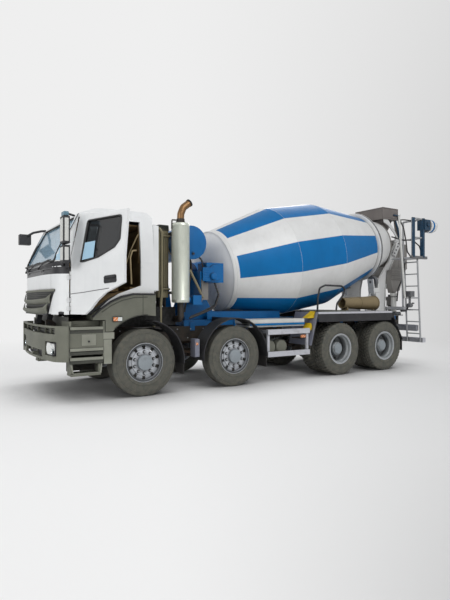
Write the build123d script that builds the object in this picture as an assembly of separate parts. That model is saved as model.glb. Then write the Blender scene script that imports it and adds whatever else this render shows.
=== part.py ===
"""Concrete mixer truck with four axles, the front two steered, built as an assembly of separate pieces.

Frame: +X points forward, +Y to the vehicle's left, +Z up. The origin is on the ground, on the centre plane,
under the middle of the first axle. All lengths are millimetres.
"""
import os
from math import acos, asin, atan, cos, degrees, radians, sin, tan

from build123d import *

# ---------------------------------------------------------------- driving dimensions
AXLE_X = (0.0, -1700.0, -4250.0, -5600.0)  # first and second front axle, first and second rear axle
TYRE_R = 530.0  # radius on the ground
TYRE_W = 312.0
BEAD_R = 286.0  # 22.5 inch rim
FRONT_TRACK = 2060.0
REAR_TRACK = 1820.0  # between the middles of the twin wheels
TWIN_PITCH = 350.0  # between the two tyres of a twin wheel
KINGPIN_Y = 835.0
KINGPIN_R = 22.0
PIN_GAP = 0.08  # radial clearance of a pin in its bore
STEER_ARM = 230.0  # kingpin to tie rod eye, rearwards

FRAME_W = 850.0
RAIL_H = 270.0
RAIL_FLANGE = 80.0
RAIL_T = 9.0
FRAME_TOP = 1040.0
FRAME_FRONT = 1150.0
FRAME_REAR = -7050.0
SUBFRAME_H = 110.0
SUBFRAME_FRONT = -1080.0

CAB_HALF_W = 1150.0
CAB_REAR = -160.0
CAB_SILL = 1300.0  # underside of the doors and of the front corner panels
CAB_DECK = 1620.0  # underside of the cab behind the wheel arch
CAB_WALL = 40.0
CAB_FRONT = 1430.0
CAB_TOP = 2950.0
ROOF_SEAM = 2765.0
DOOR_FRONT = 1170.0
DOOR_REAR = 60.0
DOOR_TOP = 2745.0
DOOR_GAP = 6.0
DOOR_OPEN = 66.0  # how far the left door stands open at rest
HINGE_X, HINGE_Y = DOOR_FRONT - 16, CAB_HALF_W - 4
HINGE_Z = (1450.0, 1900.0)  # middles of each door's two hinges
HINGE_R, HINGE_PIN_R, HINGE_HALF = 10.0, 4.5, 25.0  # knuckle, pin, half the door knuckle's height
CAB_OUT = CAB_HALF_W + 150  # beyond the cab's sides
DOOR_IN = CAB_HALF_W - 250  # further in than the doors
TILT_X, TILT_Z = 1290.0, 1160.0  # cab tilt pivot

DRUM_X, DRUM_Z = -1926.0, 2085.0  # middle of the drum's front rim
DRUM_TILT = 10.0
DRUM_WALL = 12.0
# along the axis from the front rim, outer radius
DRUM_PROFILE = ((0.0, 780.0), (1380.0, 1140.0), (2620.0, 1140.0), (4780.0, 560.0))
DRUM_DISH = 210.0
RING_A = 4130.0  # middle of the roller ring along the axis
RING_W = 90.0
RING_R = 820.0
ROLLER_R = 130.0
ROLLER_ANGLE = 27.0  # rollers' places either side of the lowest point
ROLLER_GAP = 1.0

CHUTE_X = -7330.0
CHUTE_HINGE_Y, CHUTE_HINGE_Z = 430.0, 1700.0
CHUTE_LEN = 950.0
CHUTE_UP = 60.0  # elevation of the chute at rest

PARTS = {}


# ---------------------------------------------------------------- helpers
def block(x0, x1, y0, y1, z0, z1):
    """A box between two corners."""
    return Pos((x0 + x1) / 2, (y0 + y1) / 2, (z0 + z1) / 2) * Box(abs(x1 - x0), abs(y1 - y0), abs(z1 - z0))


def rod(start, end, radius):
    """A round bar between two points."""
    a, b = Vector(*start), Vector(*end)
    return extrude(Plane(origin=a, z_dir=b - a) * Circle(radius), amount=(b - a).length)


def pipe(points, bend, radius):
    """A round pipe along straight runs joined by tangent arcs."""
    path = FilletPolyline(*points, radius=bend) if len(points) > 2 else Line(*points)
    start = Plane(origin=path @ 0, z_dir=path % 0)
    return sweep(start * Circle(radius), path=path)


def face_xz(points, bend=0.0):
    """A face in the XZ plane from (x, z) points, all its corners rounded by bend."""
    face = make_face(Polyline(*points, close=True))
    if bend:
        face = fillet(face.vertices(), bend)
    return Plane.XZ * face


def slab_xz(points, y0, y1, bend=0.0):
    """A plate from (x, z) points, from y0 to y1."""
    return Pos(0, y0, 0) * extrude(face_xz(points, bend), amount=y1 - y0, dir=(0, 1, 0))


def slab_yz(points, x0, x1, bend=0.0):
    """A plate from (y, z) points, from x0 to x1."""
    face = make_face(Polyline(*points, close=True))
    if bend:
        face = fillet(face.vertices(), bend)
    return Pos(x0, 0, 0) * extrude(Plane.YZ * face, amount=x1 - x0)


def slab_xy(points, z0, z1, bend=0.0):
    """A plate from (x, y) points, from z0 to z1."""
    face = make_face(Polyline(*points, close=True))
    if bend:
        face = fillet(face.vertices(), bend)
    return Pos(0, 0, z0) * extrude(face, amount=z1 - z0)


def turned_y(profile, x, z):
    """A body turned about an axis along Y through (x, z), from (radius, y) points."""
    face = make_face(Polyline(*[(r, y) for r, y in profile], close=True))
    return Pos(x, 0, z) * revolve(face, Axis.Y)


def mirrored(shape):
    """The same piece on the other side of the vehicle."""
    return mirror(shape, Plane.XZ)


def both_sides(shape):
    """A piece and its mirror image, as two solids."""
    return Compound([*shape.solids(), *mirrored(shape).solids()])


def joined(shapes):
    """Several shapes fused to one."""
    shapes = list(shapes)
    return shapes[0].fuse(*shapes[1:]) if len(shapes) > 1 else shapes[0]


def both(shapes):
    """Each shape with its mirror image."""
    return [*shapes, *(mirrored(s) for s in shapes)]


def together(*shapes):
    """Several pieces that share one node and don't touch."""
    return Compound([s for shape in shapes for s in shape.solids()])


def node(name, shape):
    """Keeps a piece under its node's name."""
    PARTS[name] = shape


# ---------------------------------------------------------------- wheels, axles and steering
WHEEL_Z = TYRE_R
FRONT_Y = FRONT_TRACK / 2
REAR_Y = REAR_TRACK / 2
TWIN_REACH = (TWIN_PITCH + TYRE_W) / 2  # from the middle of a twin wheel to its faces
GUARD_OUT = REAR_Y + TWIN_REACH + 4  # the rear mudguards' outer face
CASING = 24.0
RIM_T = 12.0
RIM_HALF = 118.0
DISC_T = 16.0
HUB_R = 120.0
SPINDLE_R = 42.0
SPINDLE_GAP = 0.08
DRUM_BRAKE_R = 210.0
STUD_PCD = 335.0
STUD_R = 16.0
VENT_AT, VENT_R = 222.0, 25.0  # the front discs' ten vents


def tyre(y):
    """An open casing whose middle is at y on the wheel's axis, before it is placed."""
    half, r, bead = TYRE_W / 2, TYRE_R, BEAD_R
    tread = half - 34
    seat = RIM_HALF - 2
    outer = [(bead, -seat), (bead + 20, -seat), (bead + 46, -half + 12), (r - 120, -half), (r - 28, -half + 14),
             (r, -tread), (r, tread), (r - 28, half - 14), (r - 120, half), (bead + 46, half - 12),
             (bead + 20, seat), (bead, seat)]
    inner = [(bead, seat - CASING), (bead + 46, half - 12 - CASING), (r - 120, half - CASING),
             (r - 40, tread - 8), (r - 40, -tread + 8), (r - 120, -half + CASING),
             (bead + 46, -half + 12 + CASING), (bead, -seat + CASING)]
    return [(a, b + y) for a, b in outer + inner]


def rim(y, disc_y, out, dish):
    """Half section of a rim whose middle is at y, with a disc that starts at disc_y and leans by dish away from out."""
    b, h, t = BEAD_R - 0.5, RIM_HALF, RIM_T
    shell = [(b + 18, y - h - t), (b + 18, y - h), (b, y - h), (b, y - h + 45), (b - 22, y - h + 70),
             (b - 22, y + h - 70), (b, y + h - 45), (b, y + h), (b + 18, y + h), (b + 18, y + h + t),
             (b - t, y + h + t), (b - t, y + h - 40), (b - 22 - t, y + h - 66), (b - 22 - t, y - h + 66),
             (b - t, y - h + 40), (b - t, y - h - t)]
    edge = b - t + 2
    disc = [(HUB_R - 6, disc_y), (edge, disc_y - out * dish), (edge, disc_y - out * (dish + DISC_T)),
            (HUB_R - 6, disc_y - out * DISC_T)]
    return shell, disc


def front_wheel(x, side):
    """A steered wheel: tyre, rim with a disc near its outer face, hub with its cap and brake drum."""
    y = side * FRONT_Y
    wheel_tyre = turned_y(tyre(y), x, WHEEL_Z)
    shell, disc = rim(y, y + side * 96, side, 20)
    body = joined([turned_y(shell, x, WHEEL_Z), turned_y(disc, x, WHEEL_Z)])
    hub = turned_y([(SPINDLE_R + SPINDLE_GAP, y - side * 70), (HUB_R, y - side * 70), (HUB_R, y + side * 100),
                    (HUB_R - 22, y + side * 112), (HUB_R - 30, y + side * 150), (HUB_R - 60, y + side * 158),
                    (0, y + side * 158), (0, y + side * 122), (SPINDLE_R + SPINDLE_GAP, y + side * 122)], x, WHEEL_Z)
    brake = turned_y([(HUB_R - 5, y + side * 74), (DRUM_BRAKE_R, y + side * 74), (DRUM_BRAKE_R, y - side * 110),
                      (DRUM_BRAKE_R - 14, y - side * 110), (DRUM_BRAKE_R - 14, y + side * 60),
                      (HUB_R - 5, y + side * 60)], x, WHEEL_Z)
    body = joined([body, hub, brake])
    holes = [Pos(x, 0, WHEEL_Z) * Rot(0, 360 / 10 * i + 18, 0) * Pos(VENT_AT, y + side * 80, 0)
             * Rot(90, 0, 0) * Cylinder(VENT_R, 90) for i in range(10)]
    return wheel_tyre, body.cut(*holes)


def twin_wheel(x, side):
    """A driven twin wheel: two tyres on two rims whose discs meet at the middle, with the hub drive."""
    y = side * REAR_Y
    half = TWIN_PITCH / 2
    tyres = [turned_y(tyre(y + s * half), x, WHEEL_Z) for s in (-1, 1)]
    outer = rim(y + side * half, y + side * 12, -side, 56)
    inner = rim(y - side * half, y - side * 12, side, 56)
    pieces = [turned_y(p, x, WHEEL_Z) for p in (*outer, *inner)]
    web = turned_y([(HUB_R - 8, y - side * 30), (HUB_R + 90, y - side * 30), (HUB_R + 90, y + side * 30),
                    (HUB_R - 8, y + side * 30)], x, WHEEL_Z)
    hub = turned_y([(SPINDLE_R + 20 + SPINDLE_GAP, y - side * 130), (HUB_R, y - side * 130), (HUB_R, y + side * 60),
                    (HUB_R + 12, y + side * 75), (HUB_R + 12, y + side * 215), (HUB_R - 20, y + side * 240),
                    (0, y + side * 240), (0, y + side * 20), (SPINDLE_R + 20 + SPINDLE_GAP, y + side * 20)],
                   x, WHEEL_Z)
    body = joined([*pieces, web, hub])
    holes = [Pos(x, 0, WHEEL_Z) * Rot(0, 360 / 8 * i + 22.5, 0) * Pos(226, y, 0) * Rot(90, 0, 0)
             * Cylinder(24, 150) for i in range(8)]
    return together(*tyres), body.cut(*holes)


def front_beam(x):
    """A dropped forged axle beam with an eye for each kingpin."""
    drop, top = 425.0, 480.0
    outline = [(-KINGPIN_Y, WHEEL_Z + 45), (-KINGPIN_Y, WHEEL_Z - 45), (-700, WHEEL_Z - 60), (-600, drop - 50),
               (600, drop - 50), (700, WHEEL_Z - 60), (KINGPIN_Y, WHEEL_Z - 45), (KINGPIN_Y, WHEEL_Z + 45),
               (720, WHEEL_Z + 45), (560, top), (-560, top), (-720, WHEEL_Z + 45)]
    beam = slab_yz(outline, x - 48, x + 48)
    groove = slab_yz([(-540, drop - 28), (540, drop - 28), (540, top - 24), (-540, top - 24)], 0, 30)
    beam = beam.cut(Pos(x + 22, 0, 0) * groove, Pos(x - 52, 0, 0) * groove)
    for side in (-1, 1):
        at = Pos(x, side * KINGPIN_Y, WHEEL_Z)
        beam = beam.fuse(at * Cylinder(52, 110)).cut(at * Cylinder(KINGPIN_R + PIN_GAP, 200))
    return beam


def knuckle(x, side):
    """A stub axle with its yoke, kingpin, spindle and steering arm."""
    y = side * KINGPIN_Y
    ears = [Pos(x, y, WHEEL_Z + s * 82) * Cylinder(50, 42) for s in (-1, 1)]
    cheek = block(x - 48, x + 48, y + side * 60, y + side * 95, WHEEL_Z - 103, WHEEL_Z + 103)
    bridges = [block(x - 40, x + 40, y + side * 20, y + side * 70, WHEEL_Z + s * 61, WHEEL_Z + s * 103)
               for s in (-1, 1)]
    pin = Pos(x, y, WHEEL_Z) * Cylinder(KINGPIN_R, 180)
    spindle = rod((x, y + side * 80, WHEEL_Z), (x, side * (FRONT_Y + 115), WHEEL_Z), SPINDLE_R)
    arm = block(x - STEER_ARM, x - 20, y - side * 22, y + side * 22, WHEEL_Z - 103, WHEEL_Z - 75)
    eye = Pos(x - STEER_ARM, y, WHEEL_Z - 89) * Cylinder(30, 28)
    pin_eye = rod((x - STEER_ARM, y, WHEEL_Z - 103), (x - STEER_ARM, y, WHEEL_Z - 155), 14)
    return joined([*ears, cheek, *bridges, pin, spindle, arm, eye, pin_eye])


def tie_rod(x):
    """The bar that joins the two steering arms of an axle, with an eye round each arm's pin."""
    z = WHEEL_Z - 135
    bar = rod((x - STEER_ARM, -KINGPIN_Y + 20, z), (x - STEER_ARM, KINGPIN_Y - 20, z), 18)
    eyes = [Pos(x - STEER_ARM, s * KINGPIN_Y, z) * Cylinder(30, 34) for s in (-1, 1)]
    holes = [Pos(x - STEER_ARM, s * KINGPIN_Y, z) * Cylinder(14 + PIN_GAP, 60) for s in (-1, 1)]
    return joined([bar, *eyes]).cut(*holes)


NOSE_RISE, NOSE_LEN = 60.0, 330.0
GEARBOX_REAR = -950.0


def rear_housing(x):
    """A driven axle: banjo housing with its differential, tubes and spindles."""
    reach = REAR_Y - 290
    tube = rod((x, -reach, WHEEL_Z), (x, reach, WHEEL_Z), 75)
    spindles = rod((x, -REAR_Y + 5, WHEEL_Z), (x, REAR_Y - 5, WHEEL_Z), SPINDLE_R + 20)
    pot = Pos(x, 0, WHEEL_Z) * Sphere(205)
    nose = rod((x + 100, 0, WHEEL_Z + NOSE_RISE), (x + NOSE_LEN, 0, WHEEL_Z + NOSE_RISE), 80)
    return joined([tube, spindles, pot, nose])


SPRING_Y, SPRING_HALF_W, SPRING_REACH = 410.0, 45.0, 760.0
BEAM_TOP = 480.0
BOGIE_X = (AXLE_X[2] + AXLE_X[3]) / 2
BOGIE_SPRING_Y = 500.0
HANGER_Z = 640.0


def leaf_pack(x, reach, seat, rise, thick, y):
    """A leaf spring: thick at its seat, curved up by rise to its ends."""
    tip = 26.0
    path = [(x - reach, seat + rise), (x, seat), (x + reach, seat + rise)]
    under = ThreePointArc(*path)
    over = ThreePointArc((x + reach, seat + rise + tip), (x, seat + thick), (x - reach, seat + rise + tip))
    ends = [Line(under @ 1, over @ 0), Line(over @ 1, under @ 0)]
    face = Plane.XZ * make_face(Curve([under, ends[0], over, ends[1]]))
    return Pos(0, y - SPRING_HALF_W, 0) * extrude(face, amount=2 * SPRING_HALF_W, dir=(0, 1, 0))


def running_gear():
    for axle, x in enumerate(AXLE_X[:2], 1):
        for name, side in (("left", 1), ("right", -1)):
            rubber, steel = front_wheel(x, side)
            node(f"tyre_front_{name}_{axle}", rubber)
            node(f"rim_front_{name}_{axle}", steel)
            node(f"knuckle_{name}_{axle}", knuckle(x, side))
        node(f"tie_rod_{axle}", tie_rod(x))
    for axle, x in enumerate(AXLE_X[2:], 1):
        for name, side in (("left", 1), ("right", -1)):
            rubber, steel = twin_wheel(x, side)
            node(f"tyres_rear_{name}_{axle}", rubber)
            node(f"rims_rear_{name}_{axle}", steel)
    node("front_axles", together(*[joined([front_beam(x), *front_springs(x)]) for x in AXLE_X[:2]]))
    node("rear_axles", together(*[rear_housing(x) for x in AXLE_X[2:]], both_sides(bogie_spring()), *propshafts()))


def front_springs(x):
    """The two leaf springs that lie on a front beam."""
    spring = leaf_pack(x, SPRING_REACH, BEAM_TOP - 1, HANGER_Z - BEAM_TOP - 26, 70, SPRING_Y)
    return spring, mirrored(spring)


def bogie_spring():
    """The inverted spring of the two rear axles, clamped under its bracket."""
    return leaf_pack(BOGIE_X, 700, 615, -90, 90, BOGIE_SPRING_Y)


# ---------------------------------------------------------------- chassis
CROSS_X = (1110.0, -1300.0, -2450.0, -3500.0, -6250.0, -6980.0)
HANGER_X = [x + s * SPRING_REACH for x in AXLE_X[:2] for s in (-1, 1)]


def chassis_frame():
    """Two channel rails with crossmembers, spring hangers, bogie brackets and cab tilt brackets."""
    w, h, f, t = FRAME_W / 2, RAIL_H, RAIL_FLANGE, RAIL_T
    low = FRAME_TOP - h
    channel = [(w, low), (w, FRAME_TOP), (w - f, FRAME_TOP), (w - f, FRAME_TOP - t), (w - t, FRAME_TOP - t),
               (w - t, low + t), (w - f, low + t), (w - f, low)]
    rail = slab_yz(channel, FRAME_REAR, FRAME_FRONT)
    cross = [block(x - 45, x + 45, -w + t - 1, w - t + 1, low + 35, FRAME_TOP - 35) for x in CROSS_X]
    cross.append(block(BOGIE_X - 90, BOGIE_X + 90, -w + t - 1, w - t + 1, low + 20, FRAME_TOP - 20))
    hangers = []
    for s in (-1, 1):
        for x in HANGER_X:
            hangers.append(block(x - 35, x + 35, s * (SPRING_Y - 45), s * (SPRING_Y + 45), HANGER_Z, low + 2))
        hangers.append(block(BOGIE_X - 110, BOGIE_X + 110, s * (w - 2), s * (w + 25), 700, FRAME_TOP - 40))
        hangers.append(block(BOGIE_X - 90, BOGIE_X + 90, s * (w - 2), s * (BOGIE_SPRING_Y + 45), 705, 760))
        lug = slab_xz([(FRAME_FRONT - 90, 860), (FRAME_FRONT, 860), (TILT_X + 45, TILT_Z - 45), (TILT_X + 45, TILT_Z + 45),
                       (TILT_X - 45, TILT_Z + 45), (FRAME_FRONT - 90, 1030)], 380, 410, 12)
        lug = lug.cut(Pos(TILT_X, 395, TILT_Z) * Rot(90, 0, 0) * Cylinder(18 + PIN_GAP, 100))
        hangers.append(lug if s > 0 else mirrored(lug))
    return joined([rail, mirrored(rail), *cross, *hangers, chute_column()])


def mixer_subframe():
    """The mixer's own rails on top of the chassis, with the front pedestal that carries the drum's gearbox."""
    w = FRAME_W / 2
    top = FRAME_TOP + SUBFRAME_H
    rail = block(FRAME_REAR + 60, SUBFRAME_FRONT, w - 78, w - 4, FRAME_TOP, top)
    cross = [block(x - 40, x + 40, -w + 77, w - 77, FRAME_TOP + 10, top - 25)
             for x in (-2700, -3900, -5100, -6400)]
    tie = block(SUBFRAME_FRONT - 120, SUBFRAME_FRONT - 20, -w + 77, w - 77, FRAME_TOP + 5, top - 5)
    deck = block(-1850, SUBFRAME_FRONT - 20, -w + 77, w - 77, top - 30, top)
    leg = slab_xz([(-1130, top), (-1880, top), (-1620, 1560), (-1560, 1800), (-1300, 1755), (-1250, 1500)], 250, 275)
    plate = block(-1610, -1260, -275, 275, 1560, 1600)
    return joined([rail, mirrored(rail), *cross, tie, deck, leg, mirrored(leg), plate])


BUMPER_FRONT = 1460.0
BUMPER_LOW, BUMPER_TOP = 620.0, 1135.0
BUMPER_HALF_W = CAB_HALF_W + 90
BUMPER_REAR = 1200.0
JAW_X, JAW_Z, JAW_H, JAW_PIN_R = 1405.0, 710.0, 140.0, 19.0  # towing jaw: its pin hole, height and radius


def bumper_plan(inset):
    """The bumper's outline from above, bowed at the front and turned back at its ends."""
    w, x = BUMPER_HALF_W - inset, BUMPER_FRONT - inset
    front = ThreePointArc((x - 75, -w + 250), (x, 0), (x - 75, w - 250))
    left = TangentArc(front @ 1, (BUMPER_REAR + 20, w), tangent=front % 1)
    right = TangentArc((BUMPER_REAR + 20, -w), front @ 0, tangent=(1, 0))
    back = Polyline(left @ 1, (BUMPER_REAR, w), (BUMPER_REAR, -w), right @ 0)
    return make_face(Curve([front, left, back, right]))


def front_bumper():
    """A deep steel bumper with an upper air slot, lamp pockets and the slot of the towing jaw."""
    height = BUMPER_TOP - BUMPER_LOW
    outer = Pos(0, 0, BUMPER_LOW) * extrude(bumper_plan(0), amount=height)
    inner = Pos(0, 0, BUMPER_LOW - 1) * extrude(bumper_plan(35), amount=height + 2)
    back = block(BUMPER_REAR - 50, BUMPER_REAR + 60, -BUMPER_HALF_W + 35, BUMPER_HALF_W - 35, 0, 2000)
    shell = outer.cut(inner, back)
    slot = BUMPER_HALF_W - 160
    cuts = [block(1250, 1500, -slot, slot, BUMPER_TOP - 120, BUMPER_TOP - 30)]
    for s in (-1, 1):
        cuts.append(block(1250, 1500, s * 735, s * (BUMPER_HALF_W - 130), 700, 905))
    cuts.append(block(1300, 1500, -600, 600, 655, 760))
    shell = shell.cut(*cuts)
    arms = [block(1000, BUMPER_FRONT - 20, s * FRAME_W / 2, s * (FRAME_W / 2 + 30), 775, 895) for s in (-1, 1)]
    jaw = block(JAW_X - 45, BUMPER_FRONT - 2, -60, 60, JAW_Z - JAW_H / 2, JAW_Z + JAW_H / 2)
    throat = block(JAW_X - 25, BUMPER_FRONT + 1, -61, 61, JAW_Z - 22, JAW_Z + 22)
    pin_hole = Pos(JAW_X, 0, JAW_Z) * Cylinder(JAW_PIN_R, JAW_H + 20)
    return joined([shell, *arms, jaw]).cut(throat, pin_hole)


def lamps():
    """Headlamps in the bumper and tail lamps on the rear crossbar."""
    found = []
    for s in (-1, 1):
        head = block(1345, 1405, s * 760, s * (BUMPER_HALF_W - 155), 715, 890)
        found.append(fillet(head.edges().filter_by(Axis.X), 30))
        tail = block(FRAME_REAR - 8, FRAME_REAR + 52, s * (GUARD_OUT - 625), s * (GUARD_OUT - 225), 800, 930)
        found.append(fillet(tail.edges().filter_by(Axis.X), 20))
    return together(*found)


STEP_X0, STEP_X1 = 665.0, 1190.0
STEP_OUT = CAB_HALF_W + 65
STEP_TOP = CAB_SILL - 100


def entry_steps():
    """The step box below the left door: three treads, an infill panel and a hanging step."""
    x0, x1, y0, y1 = STEP_X0, STEP_X1, STEP_OUT - 415, STEP_OUT
    back = block(x0, x1, y0, y0 + 25, 640, STEP_TOP)
    cheeks = [block(x, x + 30, y0, y1, 640, STEP_TOP) for x in (x0, x1 - 30)]
    treads = [block(x0, x1, y0, y1, z - 28, z) for z in (1110, 800, 668)]
    panel = block(x0, x1, y1 - 30, y1, 800, 1060)
    inner = block(x0, x1, y1 - 180, y1 - 155, 1110, STEP_TOP)
    legs = [block(x, x + 30, y1 - 190, y1 - 20, 430, 660) for x in (x0 + 60, x1 - 60)]
    low = block(x0 + 60, x1 - 30, y1 - 230, y1, 405, 435)
    arm = block(x0 + 100, x1 - 100, FRAME_W / 2, y0 + 5, 900, 1000)
    return joined([back, *cheeks, *treads, panel, inner, *legs, low, arm])


def engine():
    """Engine and gearbox as one plain block, with the radiator ahead of them."""
    block_ = block(960, -150, -330, 330, 600, 1220)
    gearbox = block(-149, GEARBOX_REAR, -210, 210, 650, 990)
    radiator = block(985, 1055, -330, 330, 700, 1230)
    return together(joined([block_, gearbox]), radiator)


SHAFT_R = 48.0
BEARING_X = -2450.0


def propshafts():
    """Shafts from the gearbox over a bearing block to the first driven axle, and on to the second."""
    z0, z1 = 740.0, WHEEL_Z + NOSE_RISE
    bearing = block(BEARING_X - 50, BEARING_X + 50, -60, 60, z0 - 60, FRAME_TOP - RAIL_H + 35)
    first = joined([rod((GEARBOX_REAR - 2, 0, z0), (BEARING_X, 0, z0), SHAFT_R), bearing,
                    rod((BEARING_X, 0, z0), (AXLE_X[2] + NOSE_LEN + 8, 0, z1), SHAFT_R)])
    second = rod((AXLE_X[2] - 215, 0, z1), (AXLE_X[3] + NOSE_LEN + 2, 0, z1), SHAFT_R)
    return first, second


def tanks():
    """Two brake air tanks across the left side, the fuel tank and the battery box on the right."""
    out = GUARD_OUT - 135
    air = [rod((x, 470, 640), (x, out, 640), 128) for x in (-2530, -2810)]
    air = [fillet(t.edges(), 30) for t in air]
    straps = [block(x - 30, x + 30, FRAME_W / 2, 700, 765, 800) for x in (-2530, -2810)]
    air = [joined([t, s]) for t, s in zip(air, straps)]
    fuel = block(-3330, -2470, -out - 20, -460, 480, 1000)
    fuel = fillet(fuel.edges().filter_by(Axis.X), 90)
    mounts = block(-3200, -2700, -470, -FRAME_W / 2, 860, 980)
    return together(*air, joined([fuel, mounts]))


RAIL_SIDE_Z, RAIL_SIDE_H = (470.0, 880.0), 95.0  # undersides and height of the side rails


def side_guards():
    """Two rails a side between the second and third axle, on posts from the frame."""
    w, out = FRAME_W / 2, GUARD_OUT - 20
    rails = [block(-3410, -2390, out - 35, out, z, z + RAIL_SIDE_H) for z in RAIL_SIDE_Z]
    posts = [block(x, x + 50, out - 75, out - 34, RAIL_SIDE_Z[0], RAIL_SIDE_Z[1] + RAIL_SIDE_H)
             for x in (-2450, -3400)]
    arms = [block(x, x + 50, w, out - 74, 900, 960) for x in (-2450, -3400)]
    return both_sides(joined([*rails, *posts, *arms]))


ARCH_R, ARCH_T = 662.0, 14.0


def arch(x, start, end, y0, y1):
    """A mudguard round a wheel at x, from the start to the end angle above the forward horizontal."""
    r0, r1 = ARCH_R, ARCH_R + ARCH_T
    def at(r, a):
        return (x + r * cos(radians(a)), WHEEL_Z + r * sin(radians(a)))
    mid = (start + end) / 2
    outer = ThreePointArc(at(r1, start), at(r1, mid), at(r1, end))
    inner = ThreePointArc(at(r0, end), at(r0, mid), at(r0, start))
    face = Plane.XZ * make_face(Curve([outer, Line(outer @ 1, inner @ 0), inner, Line(inner @ 1, outer @ 0)]))
    return Pos(0, y0, 0) * extrude(face, amount=y1 - y0, dir=(0, 1, 0))


def mudguards():
    """Arched guards at the front wheels and angular ones over the twin wheels, each on its bracket."""
    w = FRAME_W / 2
    near, far = FRONT_Y - TYRE_W / 2 - 4, FRONT_Y + TYRE_W / 2 + 39
    low, high = FRAME_TOP - 55, FRAME_TOP - 10
    first = joined([arch(AXLE_X[0], 100, 185, near, far), block(-480, -430, w, near + 30, low, high)])
    bracket = block(AXLE_X[1] - 30, AXLE_X[1] + 30, w, near + 30, FRAME_TOP + 110, FRAME_TOP + 160)
    stand = block(AXLE_X[1] - 30, AXLE_X[1] + 30, w, w + 40, FRAME_TOP - 50, FRAME_TOP + 160)
    second = joined([arch(AXLE_X[1], -3, 183, near, far), bracket, stand])
    t = 22.0
    x0, x1, top, low = -3620.0, -5800.0, 1260.0, 640.0
    over = [(x0 + 170, low), (x0, top), (x1, top), (x1 - 360, low), (x1 - 360 - t, low), (x1 - 12, top + t),
            (x0 + 16, top + t), (x0 + 170 + t, low)]
    near, far = REAR_Y - TWIN_REACH - 19, GUARD_OUT
    rear = slab_xz(over, near, far)
    lip = slab_xz([(x0, top + 1), (x1, top + 1), (x1 - 50, top - 120), (x0 + 50, top - 120)], far - 20, far)
    brackets = [block(x - 30, x + 30, w, near + 20, top - 40, top + 1) for x in (-3750, -5700)]
    stands = [block(x - 30, x + 30, w - 60, w + 20, FRAME_TOP + SUBFRAME_H, top - 30) for x in (-3750, -5700)]
    rear = joined([rear, lip, *brackets, *stands])
    return together(both_sides(first), both_sides(second), both_sides(rear))


UNDERRUN_X = -7080.0


def underrun_bar():
    """The rear crossbar on two arms, with the carriers of the tail lamps and the rear towing jaw."""
    half = GUARD_OUT - 55
    bar = block(UNDERRUN_X, UNDERRUN_X + 110, -half, half, 530, 640)
    arms = [block(UNDERRUN_X, UNDERRUN_X + 110, s * 340, s * 420, 600, 768) for s in (-1, 1)]
    posts = [block(FRAME_REAR + 52, FRAME_REAR + 70, s * FRAME_W / 2, s * (GUARD_OUT - 215), 790, 940) for s in (-1, 1)]
    return joined([bar, *arms]), both_sides(posts[1])


# ---------------------------------------------------------------- behind the cab
STACK_X, STACK_Y, STACK_R = -665.0, 1030.0, 160.0


def exhaust():
    """The upright silencer with its curved tail pipe, on two arms from the frame."""
    can = Pos(STACK_X, STACK_Y, (1470 + 2810) / 2) * Cylinder(STACK_R, 2810 - 1470)
    can = fillet(can.edges(), 14)
    tail = pipe([(STACK_X, STACK_Y, 2805), (STACK_X, STACK_Y, 3000), (STACK_X - 210, STACK_Y, 3170)], 130, 52)
    tail = tail.cut(Pos(0, 0, 0) * pipe([(STACK_X, STACK_Y, 2900), (STACK_X, STACK_Y, 3000),
                                         (STACK_X - 210, STACK_Y, 3170)], 130, 47))
    foot = block(STACK_X - 60, STACK_X + 60, FRAME_W / 2, STACK_Y + 40, 1330, 1400)
    post = block(STACK_X - 50, STACK_X + 50, STACK_Y - 60, STACK_Y + 40, 1395, 1475)
    stand = block(STACK_X - 60, STACK_X + 60, FRAME_W / 2 - 60, FRAME_W / 2 + 20, FRAME_TOP, 1400)
    return joined([can, tail, foot, post, stand])


def air_intake():
    """The tall air intake box behind the cab with its tube frame."""
    w = FRAME_W / 2
    tower = block(-590, -400, w - 5, w + 375, 1560, 2720)
    tower = fillet(tower.edges().filter_by(Axis.Z), 30)
    leg = rod((-495, w - 30, FRAME_TOP), (-495, w - 30, 1562), 30)
    foot = block(-540, -450, w - 55, w + 55, 1500, 1562)
    return joined([tower, leg, foot])


WATER_X, WATER_Z, WATER_R = -1010.0, 2520.0, 290.0


def water_tank():
    """The wash water tank across the vehicle, on two stands from the subframe."""
    body = rod((WATER_X, -840, WATER_Z), (WATER_X, 840, WATER_Z), WATER_R)
    body = fillet(body.edges(), 50)
    stands = []
    for s in (-1, 1):
        stands.append(slab_xz([(WATER_X - 60, WATER_Z - 200), (WATER_X + 60, WATER_Z - 200),
                               (-1120, FRAME_TOP + SUBFRAME_H), (-1240, FRAME_TOP + SUBFRAME_H)],
                              s * 370 - 20, s * 370 + 20))
    return joined([body, *stands])


def drum_frame():
    """The plane at the middle of the drum's front rim, its Z along the drum's axis to the rear."""
    return Plane(origin=(DRUM_X, 0, DRUM_Z), z_dir=(-cos(radians(DRUM_TILT)), 0, sin(radians(DRUM_TILT))),
                 x_dir=(0, 1, 0))


def drum_gearbox():
    """Gearbox and hydraulic motor on the drum's axis, with the oil cooler beside them."""
    at = drum_frame()
    case = at * Pos(0, 0, -330) * Cylinder(230, 220)
    flange = at * Pos(0, 0, -DRUM_DISH - 14) * Cylinder(150, 26)
    motor = at * Pos(0, 0, -560) * Cylinder(110, 260)
    foot = block(-1600, -1340, -240, 240, 1600, 1850)
    cooler = block(-1640, -1290, 560, 880, 1830, 2180)
    fan = rod((-1465, 880, 2005), (-1465, 905, 2005), 140)
    arm = block(-1520, -1400, 200, 570, 1850, 1900)
    return joined([case, flange, motor, foot, cooler, fan, arm])


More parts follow.
